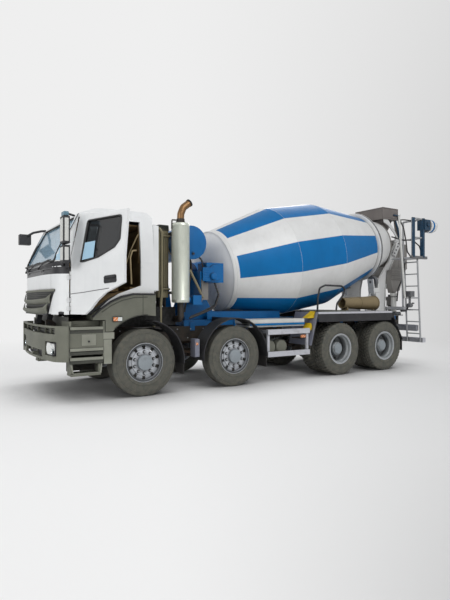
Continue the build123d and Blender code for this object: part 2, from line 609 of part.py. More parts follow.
def drum_radius(a):
    """The drum's outer radius at a distance along its axis."""
    for (a0, r0), (a1, r1) in zip(DRUM_PROFILE, DRUM_PROFILE[1:]):
        if a <= a1:
            return r0 + (r1 - r0) * (a - a0) / (a1 - a0)
    return DRUM_PROFILE[-1][1]


def drum():
    """The drum's shell with its dished front, and the ring that runs on the rollers."""
    t = DRUM_WALL
    outer = [(r, a) for a, r in DRUM_PROFILE]
    inner = [(r - t, a) for a, r in DRUM_PROFILE]
    r0 = DRUM_PROFILE[0][1]
    ball = (r0 ** 2 + DRUM_DISH ** 2) / (2 * DRUM_DISH)

    def dish(radius, r):
        return r, ball - DRUM_DISH - (radius ** 2 - r ** 2) ** 0.5

    dish_out = ThreePointArc(dish(ball, 0), dish(ball, r0 / 2), dish(ball, r0))
    wall = Polyline(*outer, *inner[::-1][:-1], dish(ball - t, r0 - t))
    dish_in = ThreePointArc(dish(ball - t, r0 - t), dish(ball - t, r0 / 2), dish(ball - t, 0))
    close = Line(dish(ball - t, 0), dish(ball, 0))
    face = Plane.XZ * make_face(Curve([dish_out, wall, dish_in, close]))
    shell = drum_frame() * revolve(face, Axis.Z)
    a0, a1 = RING_A - RING_W / 2, RING_A + RING_W / 2
    ring = [(drum_radius(a0) - 4, a0), (RING_R, a0), (RING_R, a1), (drum_radius(a1) - 4, a1)]
    track = drum_frame() * revolve(Plane.XZ * make_face(Polyline(*ring, close=True)), Axis.Z)
    return shell, track


BLADE_A = (3000.0, 4660.0)  # where the discharge blades start and end along the drum's axis
BLADE_PITCH, BLADE_H, BLADE_T = 1500.0, 180.0, 8.0


def drum_blade(turn):
    """One discharge blade: a flat strip wound as a helix inside the drum's neck, turned about the axis."""
    (a0, r0), (a1, r1) = DRUM_PROFILE[-2:]
    start, stop = BLADE_A
    middle = drum_radius(start) - (DRUM_WALL + BLADE_H) / 2
    path = Helix(BLADE_PITCH, stop - start, middle, cone_angle=-degrees(atan((r0 - r1) / (a1 - a0))))
    strip = Plane(origin=path @ 0, x_dir=(1, 0, 0), z_dir=path % 0) * Rectangle(BLADE_H, BLADE_T)
    flight = sweep(strip, path=path, binormal=Edge.make_line((0, 0, 0), (0, 0, 1)))
    return drum_frame() * Rot(0, 0, turn) * Pos(0, 0, start) * flight


def rollers():
    """The two rollers below the ring, with their middles as points."""
    reach = RING_R + ROLLER_R + ROLLER_GAP
    found = {}
    for name, side in (("left", 1), ("right", -1)):
        a = radians(ROLLER_ANGLE) * side
        place = drum_frame() * Pos(reach * sin(a), -reach * cos(a) * drum_up(), RING_A)
        found[name] = (place * Cylinder(ROLLER_R, RING_W - 10), place * Cylinder(30, RING_W + 90))
    return found


def drum_up():
    """+1 if the local Y of the drum's plane points up, else -1."""
    return 1 if drum_frame().y_dir.Z > 0 else -1


# ---------------------------------------------------------------- rear end
PEDESTAL_Y = 370.0
PEDESTAL_T = 40.0


def roller_offset():
    """How far the rollers' middles lie beside and below the drum's axis."""
    reach = RING_R + ROLLER_R + ROLLER_GAP
    return reach * sin(radians(ROLLER_ANGLE)), reach * cos(radians(ROLLER_ANGLE))


def offset_line(points, by):
    """The same open line moved sideways, to the right of its way in the XZ plane."""
    moved = []
    for i, (x, z) in enumerate(points):
        (xa, za), (xb, zb) = points[max(i - 1, 0)], points[min(i + 1, len(points) - 1)]
        size = ((xb - xa) ** 2 + (zb - za) ** 2) ** 0.5
        moved.append((x + (zb - za) / size * by, z - (xb - xa) / size * by))
    return moved


def rear_pedestal():
    """Two curved side plates with the rollers' brackets, a crossbar and the chute's column."""
    base = FRAME_TOP + SUBFRAME_H
    front = [(-5900, base), (-6010, 1600), (-6250, 1860), (-6460, 2130), (-6650, 2370), (-6740, 2460), (-6820, 2700), (-6960, 2900),
             (-7010, 3060)]
    rear = [(-7150, 3060), (-7150, 2900), (-6990, 2640), (-6830, 2420), (-6690, 2130), (-6600, 1810), (-6570, base)]
    plate = slab_xz(front + rear, PEDESTAL_Y, PEDESTAL_Y + PEDESTAL_T, 12)
    place, up = drum_frame(), drum_up()
    side, down = roller_offset()
    cheeks = [place * Pos(side, -(down + 100) * up, RING_A + s * 75) * Box(170, 340, 30) for s in (-1, 1)]
    beam = place * Pos(side, -(down + 230) * up, RING_A) * Box(170, 140, 200)
    holes = place * Pos(side, -down * up, RING_A) * Cylinder(30 + PIN_GAP, 400)
    seat = block(-6270, -6120, PEDESTAL_Y, 540, base, 1700)
    spine = offset_line(rear, 14)
    flange = slab_xz(rear + spine[::-1], PEDESTAL_Y - 20, PEDESTAL_Y + PEDESTAL_T + 20)
    flange = flange.cut(block(-6700, -6500, 0, FRAME_W, FRAME_TOP, base))
    half = joined([plate, flange, seat, *cheeks, beam]).cut(holes)
    tie = block(-7120, -7050, -PEDESTAL_Y - 1, PEDESTAL_Y + 1, 2960, 3030)
    low_tie = block(-6560, -6480, -PEDESTAL_Y - 1, PEDESTAL_Y + 1, 1300, 1500)
    return joined([half, mirrored(half), tie, low_tie])


HOPPER_TOP, HOPPER_FLOOR = 3780.0, 3500.0
HOPPER_X0, HOPPER_X1, HOPPER_HALF = -7060.0, -6500.0, 430.0
PLATE_T = 14.0


def rectangle_at(x0, x1, half, z, inset=0.0):
    """A level rectangle, moved in by inset."""
    return Pos((x0 + x1) / 2, 0, z) * Rectangle(x1 - x0 - 2 * inset, 2 * (half - inset))


def feed_hopper():
    """The open feed hopper with the duct that leads down into the drum's mouth, on legs."""
    t = PLATE_T
    outer = block(HOPPER_X0, HOPPER_X1, -HOPPER_HALF, HOPPER_HALF, HOPPER_FLOOR, HOPPER_TOP)
    inner = block(HOPPER_X0 + t, HOPPER_X1 - t, -HOPPER_HALF + t, HOPPER_HALF - t, HOPPER_FLOOR + t, HOPPER_TOP + 1)
    sections = ((-6960, -6620, 330, HOPPER_FLOOR + 1), (-6920, -6680, 260, 3300), (-6790, -6550, 200, 3080))
    duct = loft([rectangle_at(*s) for s in sections], ruled=True)
    lifts = (t + 1, 0, -1)
    bore = loft([rectangle_at(x0, x1, h, z + dz, t) for (x0, x1, h, z), dz in zip(sections, lifts)], ruled=True)
    legs = [rod((-7080, s * (PEDESTAL_Y + 20), 3061), (-6990, s * (PEDESTAL_Y + 20), HOPPER_FLOOR + 5), 30)
            for s in (-1, 1)]
    feet = [block(-7140, -7020, s * PEDESTAL_Y, s * (PEDESTAL_Y + PEDESTAL_T), 3060, 3110) for s in (-1, 1)]
    legs = [joined([leg, foot]).cut(block(-7300, -6900, -500, 500, 2900, 3060)) for leg, foot in zip(legs, feet)]
    return joined([joined([outer, duct]).cut(inner, bore), *legs])


FUNNEL_HALF = 348.0


def discharge_funnel():
    """The funnel behind the drum's mouth, with its spout above the chute."""
    t = 12.0
    lip = 2335.0
    sections = ((-7520, -6760, FUNNEL_HALF, 2940), (-7520, -6700, FUNNEL_HALF, lip), (-7490, -7170, 190, 2080),
                (-7490, -7170, 180, 1960))
    outer = loft([rectangle_at(*s) for s in sections], ruled=True)
    lifts = (1, 0, 0, -1)
    bore = loft([rectangle_at(x0, x1, h, z + dz, t) for (x0, x1, h, z), dz in zip(sections, lifts)], ruled=True)
    lean = tan(radians(DRUM_TILT))
    mouth = slab_xz([(-6771, lip + 10), (-6771 + (3000 - lip - 10) * lean, 3000), (-6500, 3000), (-6500, lip + 10)], -400, 400)
    front = block(-6900, -6500, -FUNNEL_HALF + t, FUNNEL_HALF - t, lip + 10, 3000)
    arms = [block(-7110, -7030, s * (FUNNEL_HALF - 5), s * PEDESTAL_Y, 2860, 2920) for s in (-1, 1)]
    return joined([outer.cut(bore, mouth, front), *arms])


COLUMN_R = 70.0
HEAD_TOP = 1620.0
PRONG_X = 190.0
CHUTE_PIN_R = 16.0
CHUTE_W0, CHUTE_W1, CHUTE_WALL = 300.0, 250.0, 8.0


def chute_column():
    """The upright post behind the frame on which the chute's head swings, with its mounting plate."""
    plate = block(FRAME_REAR - 40, FRAME_REAR, -FRAME_W / 2, FRAME_W / 2, 800, 1180)
    foot = block(CHUTE_X - 90, FRAME_REAR - 39, -110, 110, 1060, 1180)
    post = Pos(CHUTE_X, 0, 0) * extrude(Circle(COLUMN_R), amount=HEAD_TOP - 1100)
    collar = Pos(CHUTE_X, 0, 1380) * extrude(Circle(COLUMN_R + 40), amount=20)
    return joined([plate, foot, Pos(0, 0, 1150) * post, collar])


def chute_head():
    """The swinging head: a sleeve on the column and a fork for the chute's pin, at the vehicle's right."""
    sleeve = Pos(CHUTE_X, 0, 1401) * extrude(Circle(COLUMN_R + 40), amount=HEAD_TOP - 1401)
    bore = Pos(CHUTE_X, 0, 1300) * extrude(Circle(COLUMN_R + PIN_GAP), amount=600)
    arm = block(CHUTE_X - 60, CHUTE_X + 60, -CHUTE_HINGE_Y + 90, 0, 1520, 1600)
    bar = block(CHUTE_X - PRONG_X - 15, CHUTE_X + PRONG_X + 15, -CHUTE_HINGE_Y + 60, -CHUTE_HINGE_Y + 110, 1520, 1600)
    prongs = [block(CHUTE_X + s * PRONG_X - 15, CHUTE_X + s * PRONG_X + 15, -CHUTE_HINGE_Y - 40, -CHUTE_HINGE_Y + 110,
                    1520, CHUTE_HINGE_Z + 40) for s in (-1, 1)]
    hole = rod((CHUTE_X - 300, -CHUTE_HINGE_Y, CHUTE_HINGE_Z), (CHUTE_X + 300, -CHUTE_HINGE_Y, CHUTE_HINGE_Z),
               CHUTE_PIN_R + PIN_GAP)
    return joined([sleeve, arm, bar, *prongs]).cut(bore, hole)


def chute():
    """A tapering half-round trough on a hinge pin, folded up at rest."""
    def section(radius, y):
        ring = Circle(radius) - Circle(radius - CHUTE_WALL)
        half = ring & Pos(0, -radius) * Rectangle(2 * radius + 2, 2 * radius)
        return Plane(origin=(0, y, 0), x_dir=(1, 0, 0), z_dir=(0, -1, 0)) * half
    trough = loft([section(CHUTE_W0, 60), section(CHUTE_W1, CHUTE_LEN)], ruled=True)
    trough = Pos(0, 0, CHUTE_W0 + 45) * trough
    pin = rod((-PRONG_X - 25, 0, 0), (PRONG_X + 25, 0, 0), CHUTE_PIN_R)
    spine = block(-150, 150, -30, 30, -30, 30)
    ribs = [block(s * 120 - 12, s * 120 + 12, -30, 330, -25, 45 + 34) for s in (-1, 1)]
    ribs = [r.cut(Pos(0, 0, CHUTE_W0 + 45) * rod((0, 0, 0), (0, 400, 0), CHUTE_W0 - 4)) for r in ribs]
    shape = joined([trough, pin, spine, *ribs])
    return Pos(CHUTE_X, -CHUTE_HINGE_Y, CHUTE_HINGE_Z) * Rot(-CHUTE_UP, 0, 0) * mirrored(shape)


LADDER_Y = (GUARD_OUT - 455, GUARD_OUT - 95)


DECK_Z = 2520.0


def ladder():
    """The ladder, its platform with rails, the hose reel on them and the posts that carry it."""
    foot, head = (UNDERRUN_X + 132, 540.0), (-6830.0, DECK_Z - 20)
    rails = [rod((foot[0], y, foot[1]), (head[0], y, head[1]), 20) for y in LADDER_Y]
    rungs = []
    for i in range(7):
        k = (i + 0.7) / 7
        x, z = foot[0] + (head[0] - foot[0]) * k, foot[1] + (head[1] - foot[1]) * k
        rungs.append(rod((x, LADDER_Y[0], z), (x, LADDER_Y[1], z), 14))
    near, far = LADDER_Y[0] - 170, LADDER_Y[1] + 50
    deck = block(-7010, -6570, near, far, DECK_Z - 30, DECK_Z)
    corners = [(-6610, far - 25), (-6985, far - 25), (-6985, near + 25)]
    posts = [rod((x, y, DECK_Z - 5), (x, y, 3420), 22) for x, y in corners]
    tops = [rod((*a, z), (*b, z), r) for z, r in ((3420, 22), (2980, 18)) for a, b in zip(corners, corners[1:])]
    stay = rod((-6650, 900, 1330), (-6600, 900, DECK_Z - 15), 26)
    base = block(-6690, -6610, FRAME_W / 2 - 20, 940, 1300, 1370)
    riser = block(-6690, -6610, FRAME_W / 2 - 70, FRAME_W / 2 - 10, FRAME_TOP + SUBFRAME_H, 1370)
    reel = [rod((-7160, 1150, 3280), (-7380, 1150, 3280), 150), block(-7165, -6985, 1050, 1250, 3180, 3400)]
    return joined([*rails, *rungs, deck, *posts, *tops, stay, base, riser, *reel])


def spare_chute():
    """The tapering delivery pipe that lies on the left rear mudguard, with its feet."""
    z = 1302.0
    x0, x1, y = -5550.0, -4550.0, REAR_Y + 50
    wide, narrow, wall = 155.0, 110.0, 8.0
    along = Plane(origin=(x0, y, z + wide), z_dir=(1, 0, 0))
    tube = along * Cone(wide, narrow, x1 - x0, align=(Align.CENTER, Align.CENTER, Align.MIN))
    bore = along * Cone(wide - wall, narrow - wall, x1 - x0, align=(Align.CENTER, Align.CENTER, Align.MIN))
    feet = [block(x, x + 40, y - 80, y + 80, z, z + 70) for x in (x0 + 80, x1 - 120)]
    return joined([tube, *feet]).cut(bore)


# ---------------------------------------------------------------- cab
def cab_side_face(inset):
    """The cab's outline from the side, moved in by inset."""
    pts = [(CAB_REAR, CAB_SILL), (CAB_FRONT - 20, CAB_SILL), (CAB_FRONT + 10, 1640), (CAB_FRONT - 25, 2010),
           (1015, 2800), (760, 2905), (400, CAB_TOP), (CAB_REAR + 60, CAB_TOP - 25), (CAB_REAR, CAB_TOP - 110)]
    face = make_face(Polyline(*pts, close=True))
    return Plane.XZ * (offset(face, amount=-inset, kind=Kind.INTERSECTION) if inset else face)


def cab_plan_face(inset):
    """The cab's outline from above, bowed at the front, moved in by inset."""
    w, x = CAB_HALF_W, CAB_FRONT + 20
    front = ThreePointArc((x - 85, -w + 230), (x, 0), (x - 85, w - 230))
    left = TangentArc(front @ 1, (DOOR_FRONT - 40, w), tangent=front % 1)
    right = mirror(left, Plane.XZ)
    back = Polyline(left @ 1, (CAB_REAR, w), (CAB_REAR, -w), right @ 1)
    face = make_face(Curve([front, left, back, right]))
    return offset(face, amount=-inset, kind=Kind.INTERSECTION) if inset else face


def cab_front_face(inset):
    """The cab's outline from the front, narrower at the roof, moved in by inset."""
    w = CAB_HALF_W + 1
    pts = [(-w, CAB_SILL), (w, CAB_SILL), (w, 2100), (w - 75, 2830), (w - 190, CAB_TOP - 20), (0, CAB_TOP + 10),
           (-w + 190, CAB_TOP - 20), (-w + 75, 2830), (-w, 2100)]
    face = make_face(Polyline(*pts, close=True))
    return Plane.YZ * (offset(face, amount=-inset, kind=Kind.INTERSECTION) if inset else face)


def cab_envelope(inset):
    """The cab's closed form: the three outlines extruded and intersected."""
    side = Pos(0, -2000, 0) * extrude(cab_side_face(inset), amount=4000, dir=(0, 1, 0))
    plan = Pos(0, 0, 1000) * extrude(cab_plan_face(inset), amount=2500)
    front = Pos(-1000, 0, 0) * extrude(cab_front_face(inset), amount=4000)
    return side & plan & front


ARCH_CUT = [(840, CAB_SILL - 60), (840, CAB_SILL + 8), (700, 1400), (560, 1500), (400, 1575), (200, CAB_DECK),
            (CAB_REAR - 60, CAB_DECK), (CAB_REAR - 60, CAB_SILL - 60)]
DOOR_LINE = [(DOOR_FRONT, CAB_SILL), (DOOR_FRONT, 2040), (DOOR_FRONT - 150, DOOR_TOP), (DOOR_REAR, DOOR_TOP),
             (DOOR_REAR, 1740), (200, 1690), (420, 1610), (590, 1500), (700, 1400), (760, CAB_SILL)]
WINDOW_LINE = [(DOOR_FRONT - 240, 2045), (DOOR_FRONT - 330, 2640), (DOOR_REAR + 110, 2660), (DOOR_REAR + 110, 2330),
               (DOOR_REAR + 200, 2230), (560, 2110)]


def grown(points, by, depth0, depth1):
    """A prism of an XZ outline grown by a distance."""
    face = offset(make_face(Polyline(*points, close=True)), amount=by, kind=Kind.INTERSECTION) if by else \
        make_face(Polyline(*points, close=True))
    return Pos(0, depth0, 0) * extrude(Plane.XZ * face, amount=depth1 - depth0, dir=(0, 1, 0))


def cab():
    """The cab's panels as separate pieces: roof, rear wall, sides, front, floor, doors, glass and flap."""
    outer, inner = cab_envelope(0), cab_envelope(CAB_WALL)
    arch_cut = slab_xz(ARCH_CUT, -CAB_OUT, CAB_OUT)
    shell = outer.cut(inner).cut(arch_cut)
    over = block(-400, 1600, -CAB_OUT, CAB_OUT, ROOF_SEAM, 3200)
    roof = shell & over
    body = shell.cut(over)
    wall_zone = block(-400, CAB_REAR + CAB_WALL, -CAB_OUT, CAB_OUT, 1000, 3200)
    front_zone = block(DOOR_FRONT, 1700, -CAB_OUT, CAB_OUT, 1000, 3200)
    rear_wall = body & wall_zone
    rest = body.cut(wall_zone)
    floor_zone = block(-400, 1300, -CAB_HALF_W + CAB_WALL, CAB_HALF_W - CAB_WALL, 1000, CAB_SILL + CAB_WALL)
    front = (rest & front_zone).cut(floor_zone)
    sides = rest.cut(front_zone).cut(floor_zone)
    opening = grown(DOOR_LINE, 0, DOOR_IN + 100, CAB_OUT)
    side = sides & block(-400, 1700, 0, CAB_OUT, 1000, 3200)
    door_skin = side & opening
    side = side.cut(opening, windscreen_cutter(0))
    side = side & block(-400, 1700, DOOR_IN, CAB_OUT, 1000, 3200)
    return outer, inner, roof, rear_wall, front, side, door_skin


def shrink_cut(shape, points, gap, y0, y1):
    """Cuts a frame of the given gap round an outline away from a shape."""
    whole = grown(points, 50, y0, y1)
    kept = grown(points, -gap, y0, y1)
    return shape.cut(whole.cut(kept))


def windscreen_cutter(inset):
    """The prism that cuts the windscreen's opening, seen from the front."""
    low, high = CAB_HALF_W - 140 - inset, CAB_HALF_W - 190 - inset
    pts = [(-low, 2080 + inset), (low, 2080 + inset), (high, DOOR_TOP - 5 - inset), (-high, DOOR_TOP - 5 - inset)]
    return slab_yz(pts, 900, 1700, 60)


FLAP_HALF, FLAP_LOW, FLAP_TOP = 900.0, 1310.0, 1965.0
FLAP_HINGE = (1412.0, 1957.0)  # x and z of the flap's hinge line
FLAP_LUG_Y = 520.0  # middle of each of its two hinges


def cab_floor():
    """The floor with its step over the wheel arch, the tilt lugs with their pins below it."""
    half = CAB_HALF_W - CAB_WALL - 10
    deck = block(830, 1290, -half, half, CAB_SILL + 8, CAB_SILL + CAB_WALL)
    rise = slab_xz([(840, CAB_SILL + 8), (700, 1400), (560, 1500), (400, 1575), (200, CAB_DECK),
                    (CAB_REAR + CAB_WALL, CAB_DECK), (CAB_REAR + CAB_WALL, CAB_DECK + 30), (205, CAB_DECK + 30),
                    (410, 1605), (570, 1530), (715, 1430), (860, CAB_SILL + 38)], -half, half)
    lugs = [slab_xz([(TILT_X - 90, CAB_SILL + 20), (TILT_X - 40, TILT_Z - 40), (TILT_X + 40, TILT_Z - 40),
                     (TILT_X, CAB_SILL + 20)], s * 360 - 12, s * 360 + 12) for s in (-1, 1)]
    pins = [rod((TILT_X, s * 350, TILT_Z), (TILT_X, s * 425, TILT_Z), 18) for s in (-1, 1)]
    return joined([deck, rise, *lugs, *pins])


FENDER_R, FENDER_OUT, FENDER_IN, FENDER_T = 745.0, CAB_HALF_W + 65, 860.0, 14.0


def cab_fenders():
    """The fenders over the first axle's wheels, open on the inside, that tilt with the cab."""
    def outline(inset):
        r = FENDER_R + inset
        low, top = 1040.0 + inset, CAB_DECK - 8 - inset
        a0, a1 = asin((low - WHEEL_Z) / r), acos((CAB_REAR + 30 + inset) / r)
        arc = ThreePointArc((r * cos(a0), WHEEL_Z + r * sin(a0)), (r * cos((a0 + a1) / 2), WHEEL_Z + r * sin((a0 + a1) / 2)),
                            (r * cos(a1), WHEEL_Z + r * sin(a1)))
        rest = [arc @ 1, (CAB_REAR + inset, 1262 + inset), (CAB_REAR + inset, top), (200, top), (400, 1567 - inset),
                (560, 1492 - inset), (700, 1392 - inset), (840 - inset, 1296 - inset), (840 - inset, 1215 + inset),
                (655 - inset, 1215 + inset), (655 - inset, low), arc @ 0]
        return Plane.XZ * make_face(Curve([arc, Polyline(*rest)]))
    outer = Pos(0, FENDER_IN, 0) * extrude(outline(0), amount=FENDER_OUT - FENDER_IN, dir=(0, 1, 0))
    inner = Pos(0, FENDER_IN - 1, 0) * extrude(outline(FENDER_T), amount=FENDER_OUT - FENDER_T - FENDER_IN + 1, dir=(0, 1, 0))
    return both_sides(outer.cut(inner))


def mirrors():
    """The tall mirrors on their brackets at both front pillars."""
    near, far = CAB_HALF_W + 100, CAB_HALF_W + 300
    head = fillet(block(1240, 1330, near, far, 2300, 2680).edges(), 20)
    low = fillet(block(1240, 1330, near, far, 2035, 2280).edges(), 20)
    stem = rod((1285, near + 40, 2050), (1285, near + 40, 2600), 16)
    foot = block(1265, 1305, CAB_HALF_W - 40, near + 50, 2030, 2070)
    return both_sides(joined([head, low, stem, foot]))


def cab_interior():
    """Two seats, the dashboard and the steering wheel on its column."""
    seats = []
    for side in (-1, 1):
        y = side * 560
        seats += [joined([block(330, 800, y - 240, y + 240, 1760, 1880), block(180, 340, y - 240, y + 240, 1762, 2500),
                          slab_xz([(260, 1765), (260, 1641), (410, 1607), (570, 1532), (700, 1443), (700, 1765)], y - 180, y + 180)])]
    dash = block(1030, 1178, 150 - CAB_HALF_W, CAB_HALF_W - 150, 1620, 2030)
    column = rod((1040, 560, 1780), (850, 560, 2080), 30)
    wheel = Plane(origin=(850, 560, 2080), z_dir=(-190, 0, 300)) * Torus(225, 17)
    spoke = Plane(origin=(850, 560, 2080), z_dir=(-190, 0, 300)) * Box(450, 40, 16)
    return together(*seats, joined([dash, column, wheel, spoke]))


PANEL_DEPTH, PANEL_HALF = 120.0, CAB_HALF_W - 170


def rear_panel():
    """The hollow raised panel on the cab's rear wall."""
    x, t = CAB_REAR - PANEL_DEPTH, 12.0
    outer = fillet(block(x, CAB_REAR + 5, -PANEL_HALF, PANEL_HALF, CAB_DECK + 30, DOOR_TOP).edges().filter_by(Axis.Z), 35)
    inner = block(x + t, CAB_REAR + 6, t - PANEL_HALF, PANEL_HALF - t, CAB_DECK + 30 + t, DOOR_TOP - t)
    return outer.cut(inner)


def build_cab():
    """Adds the cab's nodes, the doors last."""
    outer, inner, roof, rear_wall, front, side, door_skin = cab()
    zone = windscreen_cutter(0)
    node("cab_roof", roof)
    node("cab_sides", joined([both_sides(side), rear_wall, rear_panel()]))
    glass_band = cab_envelope(14).cut(cab_envelope(22))
    glass = glass_band & windscreen_cutter(1) & block(950, 1700, -CAB_OUT, CAB_OUT, 2050, ROOF_SEAM)
    node("windscreen", glass)
    flap_zone = block(1200, 1700, -FLAP_HALF, FLAP_HALF, FLAP_LOW - 60, FLAP_TOP)
    flap = (outer & block(1300, 1700, -FLAP_HALF + 6, FLAP_HALF - 6, FLAP_LOW, FLAP_TOP - 6)).cut(cab_envelope(30))
    flap_lugs, flap = flap_hinges(flap)
    knuckle_room = [block(1300, 1500, y - HINGE_HALF - 6, y + HINGE_HALF + 6, FLAP_LOW, FLAP_HINGE[1] + HINGE_R + 6)
                    for y in (-FLAP_LUG_Y, FLAP_LUG_Y)]
    front_skin = front.cut(zone, flap_zone, *knuckle_room)
    half = CAB_HALF_W - CAB_WALL + 1
    firewall = block(DOOR_FRONT + 10, 1200, -half, half, CAB_SILL + CAB_WALL, 2060)
    node("cab_front", joined([front_skin, firewall, *both(pillar_knuckles()), *flap_lugs]))
    node("front_flap", flap)
    node("cab_floor", cab_floor())
    node("cab_fenders", cab_fenders())
    node("cab_interior", cab_interior())
    node("mirrors", mirrors())
    build_doors(door_skin)


def at_hinge(low, high, radius):
    """An upright rod on the left door's hinge axis."""
    return rod((HINGE_X, HINGE_Y, low), (HINGE_X, HINGE_Y, high), radius)


def hinge_notches():
    """The pockets in the door's skin in which the pillar's knuckles stand."""
    near, far = HINGE_HALF, HINGE_HALF + 71
    return [block(HINGE_X - HINGE_R - 8, DOOR_FRONT + 5, HINGE_Y - 60, HINGE_Y + 60, z + low, z + high)
            for z in HINGE_Z for low, high in ((near, far), (-far, -near))]


def door_knuckles():
    """The door's own knuckles, in one with its skin."""
    return [at_hinge(z - HINGE_HALF, z + HINGE_HALF, HINGE_R) for z in HINGE_Z]


def hinge_bores():
    """The bores of the door's knuckles for the pillar's pins."""
    return [at_hinge(z - HINGE_HALF - 1, z + HINGE_HALF + 1, HINGE_PIN_R + PIN_GAP) for z in HINGE_Z]


def pillar_knuckles():
    """The left front pillar's pairs of knuckles, each pair with its leaf and the pin between them."""
    found = []
    for z in HINGE_Z:
        pin = at_hinge(z - HINGE_HALF - 35, z + HINGE_HALF + 35, HINGE_PIN_R)
        for low, high in ((HINGE_HALF + 6, HINGE_HALF + 65), (-HINGE_HALF - 65, -HINGE_HALF - 6)):
            knuckle_ = at_hinge(z + low, z + high, HINGE_R)
            leaf = block(HINGE_X, DOOR_FRONT + 25, HINGE_Y - 22, HINGE_Y - 6, z + low, z + high)
            found += [knuckle_, leaf]
        found.append(pin)
    return found


def flap_hinges(flap):
    """The two hinges of the front flap: the lugs and pins of the front wall, and the flap with its knuckles."""
    x, z = FLAP_HINGE
    lugs = []
    for y in (-FLAP_LUG_Y, FLAP_LUG_Y):
        notch = block(x - 60, x + 60, y - 90, y - HINGE_HALF, z - HINGE_R - 8, z + 60)
        knuckle_ = rod((x, y - HINGE_HALF, z), (x, y + HINGE_HALF, z), HINGE_R)
        bore = rod((x, y - HINGE_HALF - 1, z), (x, y + HINGE_HALF + 1, z), HINGE_PIN_R + PIN_GAP)
        flap = joined([flap.cut(notch, Pos(0, 65 + 2 * HINGE_HALF, 0) * notch), knuckle_]).cut(bore)
        for low, high in ((y - 84, y - 31), (y + 31, y + 84)):
            lugs += [rod((x, low, z), (x, high, z), HINGE_R), block(x - 25, x - 4, low, high, z, FLAP_TOP + 30)]
        lugs.append(rod((x, y - 60, z), (x, y + 60, z), HINGE_PIN_R))
    return lugs, flap


def build_doors(skin):
    """Both doors: the left one turned open about its hinge, the right one closed."""
    shut = shrink_cut(skin, DOOR_LINE, DOOR_GAP, DOOR_IN, CAB_OUT)
    shut = shut.cut(grown(WINDOW_LINE, 0, DOOR_IN, CAB_OUT))
    shut = joined([shut.cut(*hinge_notches()), *door_knuckles()]).cut(*hinge_bores())
    pane_band = cab_envelope(14).cut(cab_envelope(22))
    pane = pane_band & grown(WINDOW_LINE, -1, DOOR_IN, CAB_OUT)
    turn = Pos(HINGE_X, HINGE_Y, 0) * Rot(0, 0, -DOOR_OPEN) * Pos(-HINGE_X, -HINGE_Y, 0)
    node("door_left", turn * shut)
    node("door_left_glass", turn * pane)
    node("door_right", mirrored(shut))
    node("door_right_glass", mirrored(pane))


def build():
    """Adds every node of the truck."""
    running_gear()
    node("chassis_frame", chassis_frame())
    node("mixer_subframe", mixer_subframe())
    node("front_bumper", front_bumper())
    node("lamps", lamps())
    node("entry_steps", both_sides(entry_steps()))
    node("engine", engine())
    node("tanks", tanks())
    node("mudguards", mudguards())
    node("guard_rails", together(side_guards(), *underrun_bar()))
    node("exhaust", exhaust())
    node("air_intake", air_intake())
    node("water_tank", water_tank())
    node("drum_gearbox", drum_gearbox())
    node("drum", joined([*drum(), drum_blade(0), drum_blade(180)]))
    for name, (wheel, shaft) in rollers().items():
        node(f"roller_{name}", joined([wheel, shaft]))
    node("rear_pedestal", rear_pedestal())
    node("feed_hopper", feed_hopper())
    node("discharge_funnel", discharge_funnel())
    node("chute_head", chute_head())
    node("chute", chute())
    node("ladder", ladder())
    node("spare_chute", spare_chute())
    build_cab()


build()
os.makedirs("parts", exist_ok=True)
for name, shape in PARTS.items():
    export_step(shape, f"parts/{name}.step")
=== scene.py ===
"""Looks of a four-axle concrete mixer truck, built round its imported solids.

Lengths are metres in the solids' own frame: +X forward, +Y to the vehicle's left, +Z up, and the origin on
the ground under the middle of the first axle. Each sub-assembly is a class that holds its sizes and builds
its pieces.
"""
from __future__ import annotations

import logging
import math
from dataclasses import dataclass
from enum import Enum
from typing import Any, Callable, Iterable, Mapping, Sequence

import bmesh
import bpy
from mathutils import Matrix, Vector
from mathutils.bvhtree import BVHTree


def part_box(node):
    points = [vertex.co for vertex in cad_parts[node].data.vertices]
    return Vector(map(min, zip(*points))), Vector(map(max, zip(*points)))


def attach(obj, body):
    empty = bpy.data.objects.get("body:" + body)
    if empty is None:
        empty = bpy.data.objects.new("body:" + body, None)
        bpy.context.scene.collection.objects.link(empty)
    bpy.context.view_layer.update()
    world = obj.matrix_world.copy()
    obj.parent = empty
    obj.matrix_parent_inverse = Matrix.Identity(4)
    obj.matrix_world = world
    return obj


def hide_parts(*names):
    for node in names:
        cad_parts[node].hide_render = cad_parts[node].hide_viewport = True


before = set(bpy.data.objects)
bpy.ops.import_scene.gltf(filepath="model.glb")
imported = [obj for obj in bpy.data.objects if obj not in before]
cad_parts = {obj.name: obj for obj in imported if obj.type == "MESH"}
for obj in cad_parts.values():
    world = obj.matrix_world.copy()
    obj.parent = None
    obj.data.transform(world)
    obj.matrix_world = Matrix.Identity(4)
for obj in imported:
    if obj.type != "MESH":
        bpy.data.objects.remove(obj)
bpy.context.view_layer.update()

FRONT_AXLES = (0.0, -1.7)  # how far forward the two steered axles stand
HUB_HEIGHT = 0.53
LOG = logging.getLogger("mixer_truck")
Point = Sequence[float]
Outline = Sequence[tuple[float, float]]


# ---------------------------------------------------------------- colour and node helpers
def linear(code: str) -> tuple[float, float, float, float]:
    """Turns an sRGB hex colour into linear red, green, blue and alpha.

    Args:
        code: Six hex digits, with or without a leading hash.

    Returns:
        The linear colour with an alpha of one.
    """
    raw = code.lstrip("#")
    channels = [int(raw[i:i + 2], 16) / 255 for i in (0, 2, 4)]
    red, green, blue = [c / 12.92 if c <= 0.04045 else ((c + 0.055) / 1.055) ** 2.4 for c in channels]
    return red, green, blue, 1.0


def per_metre(size_mm: float) -> float:
    """Returns the texture scale that gives features of a real size in millimetres."""
    return 1000.0 / size_mm


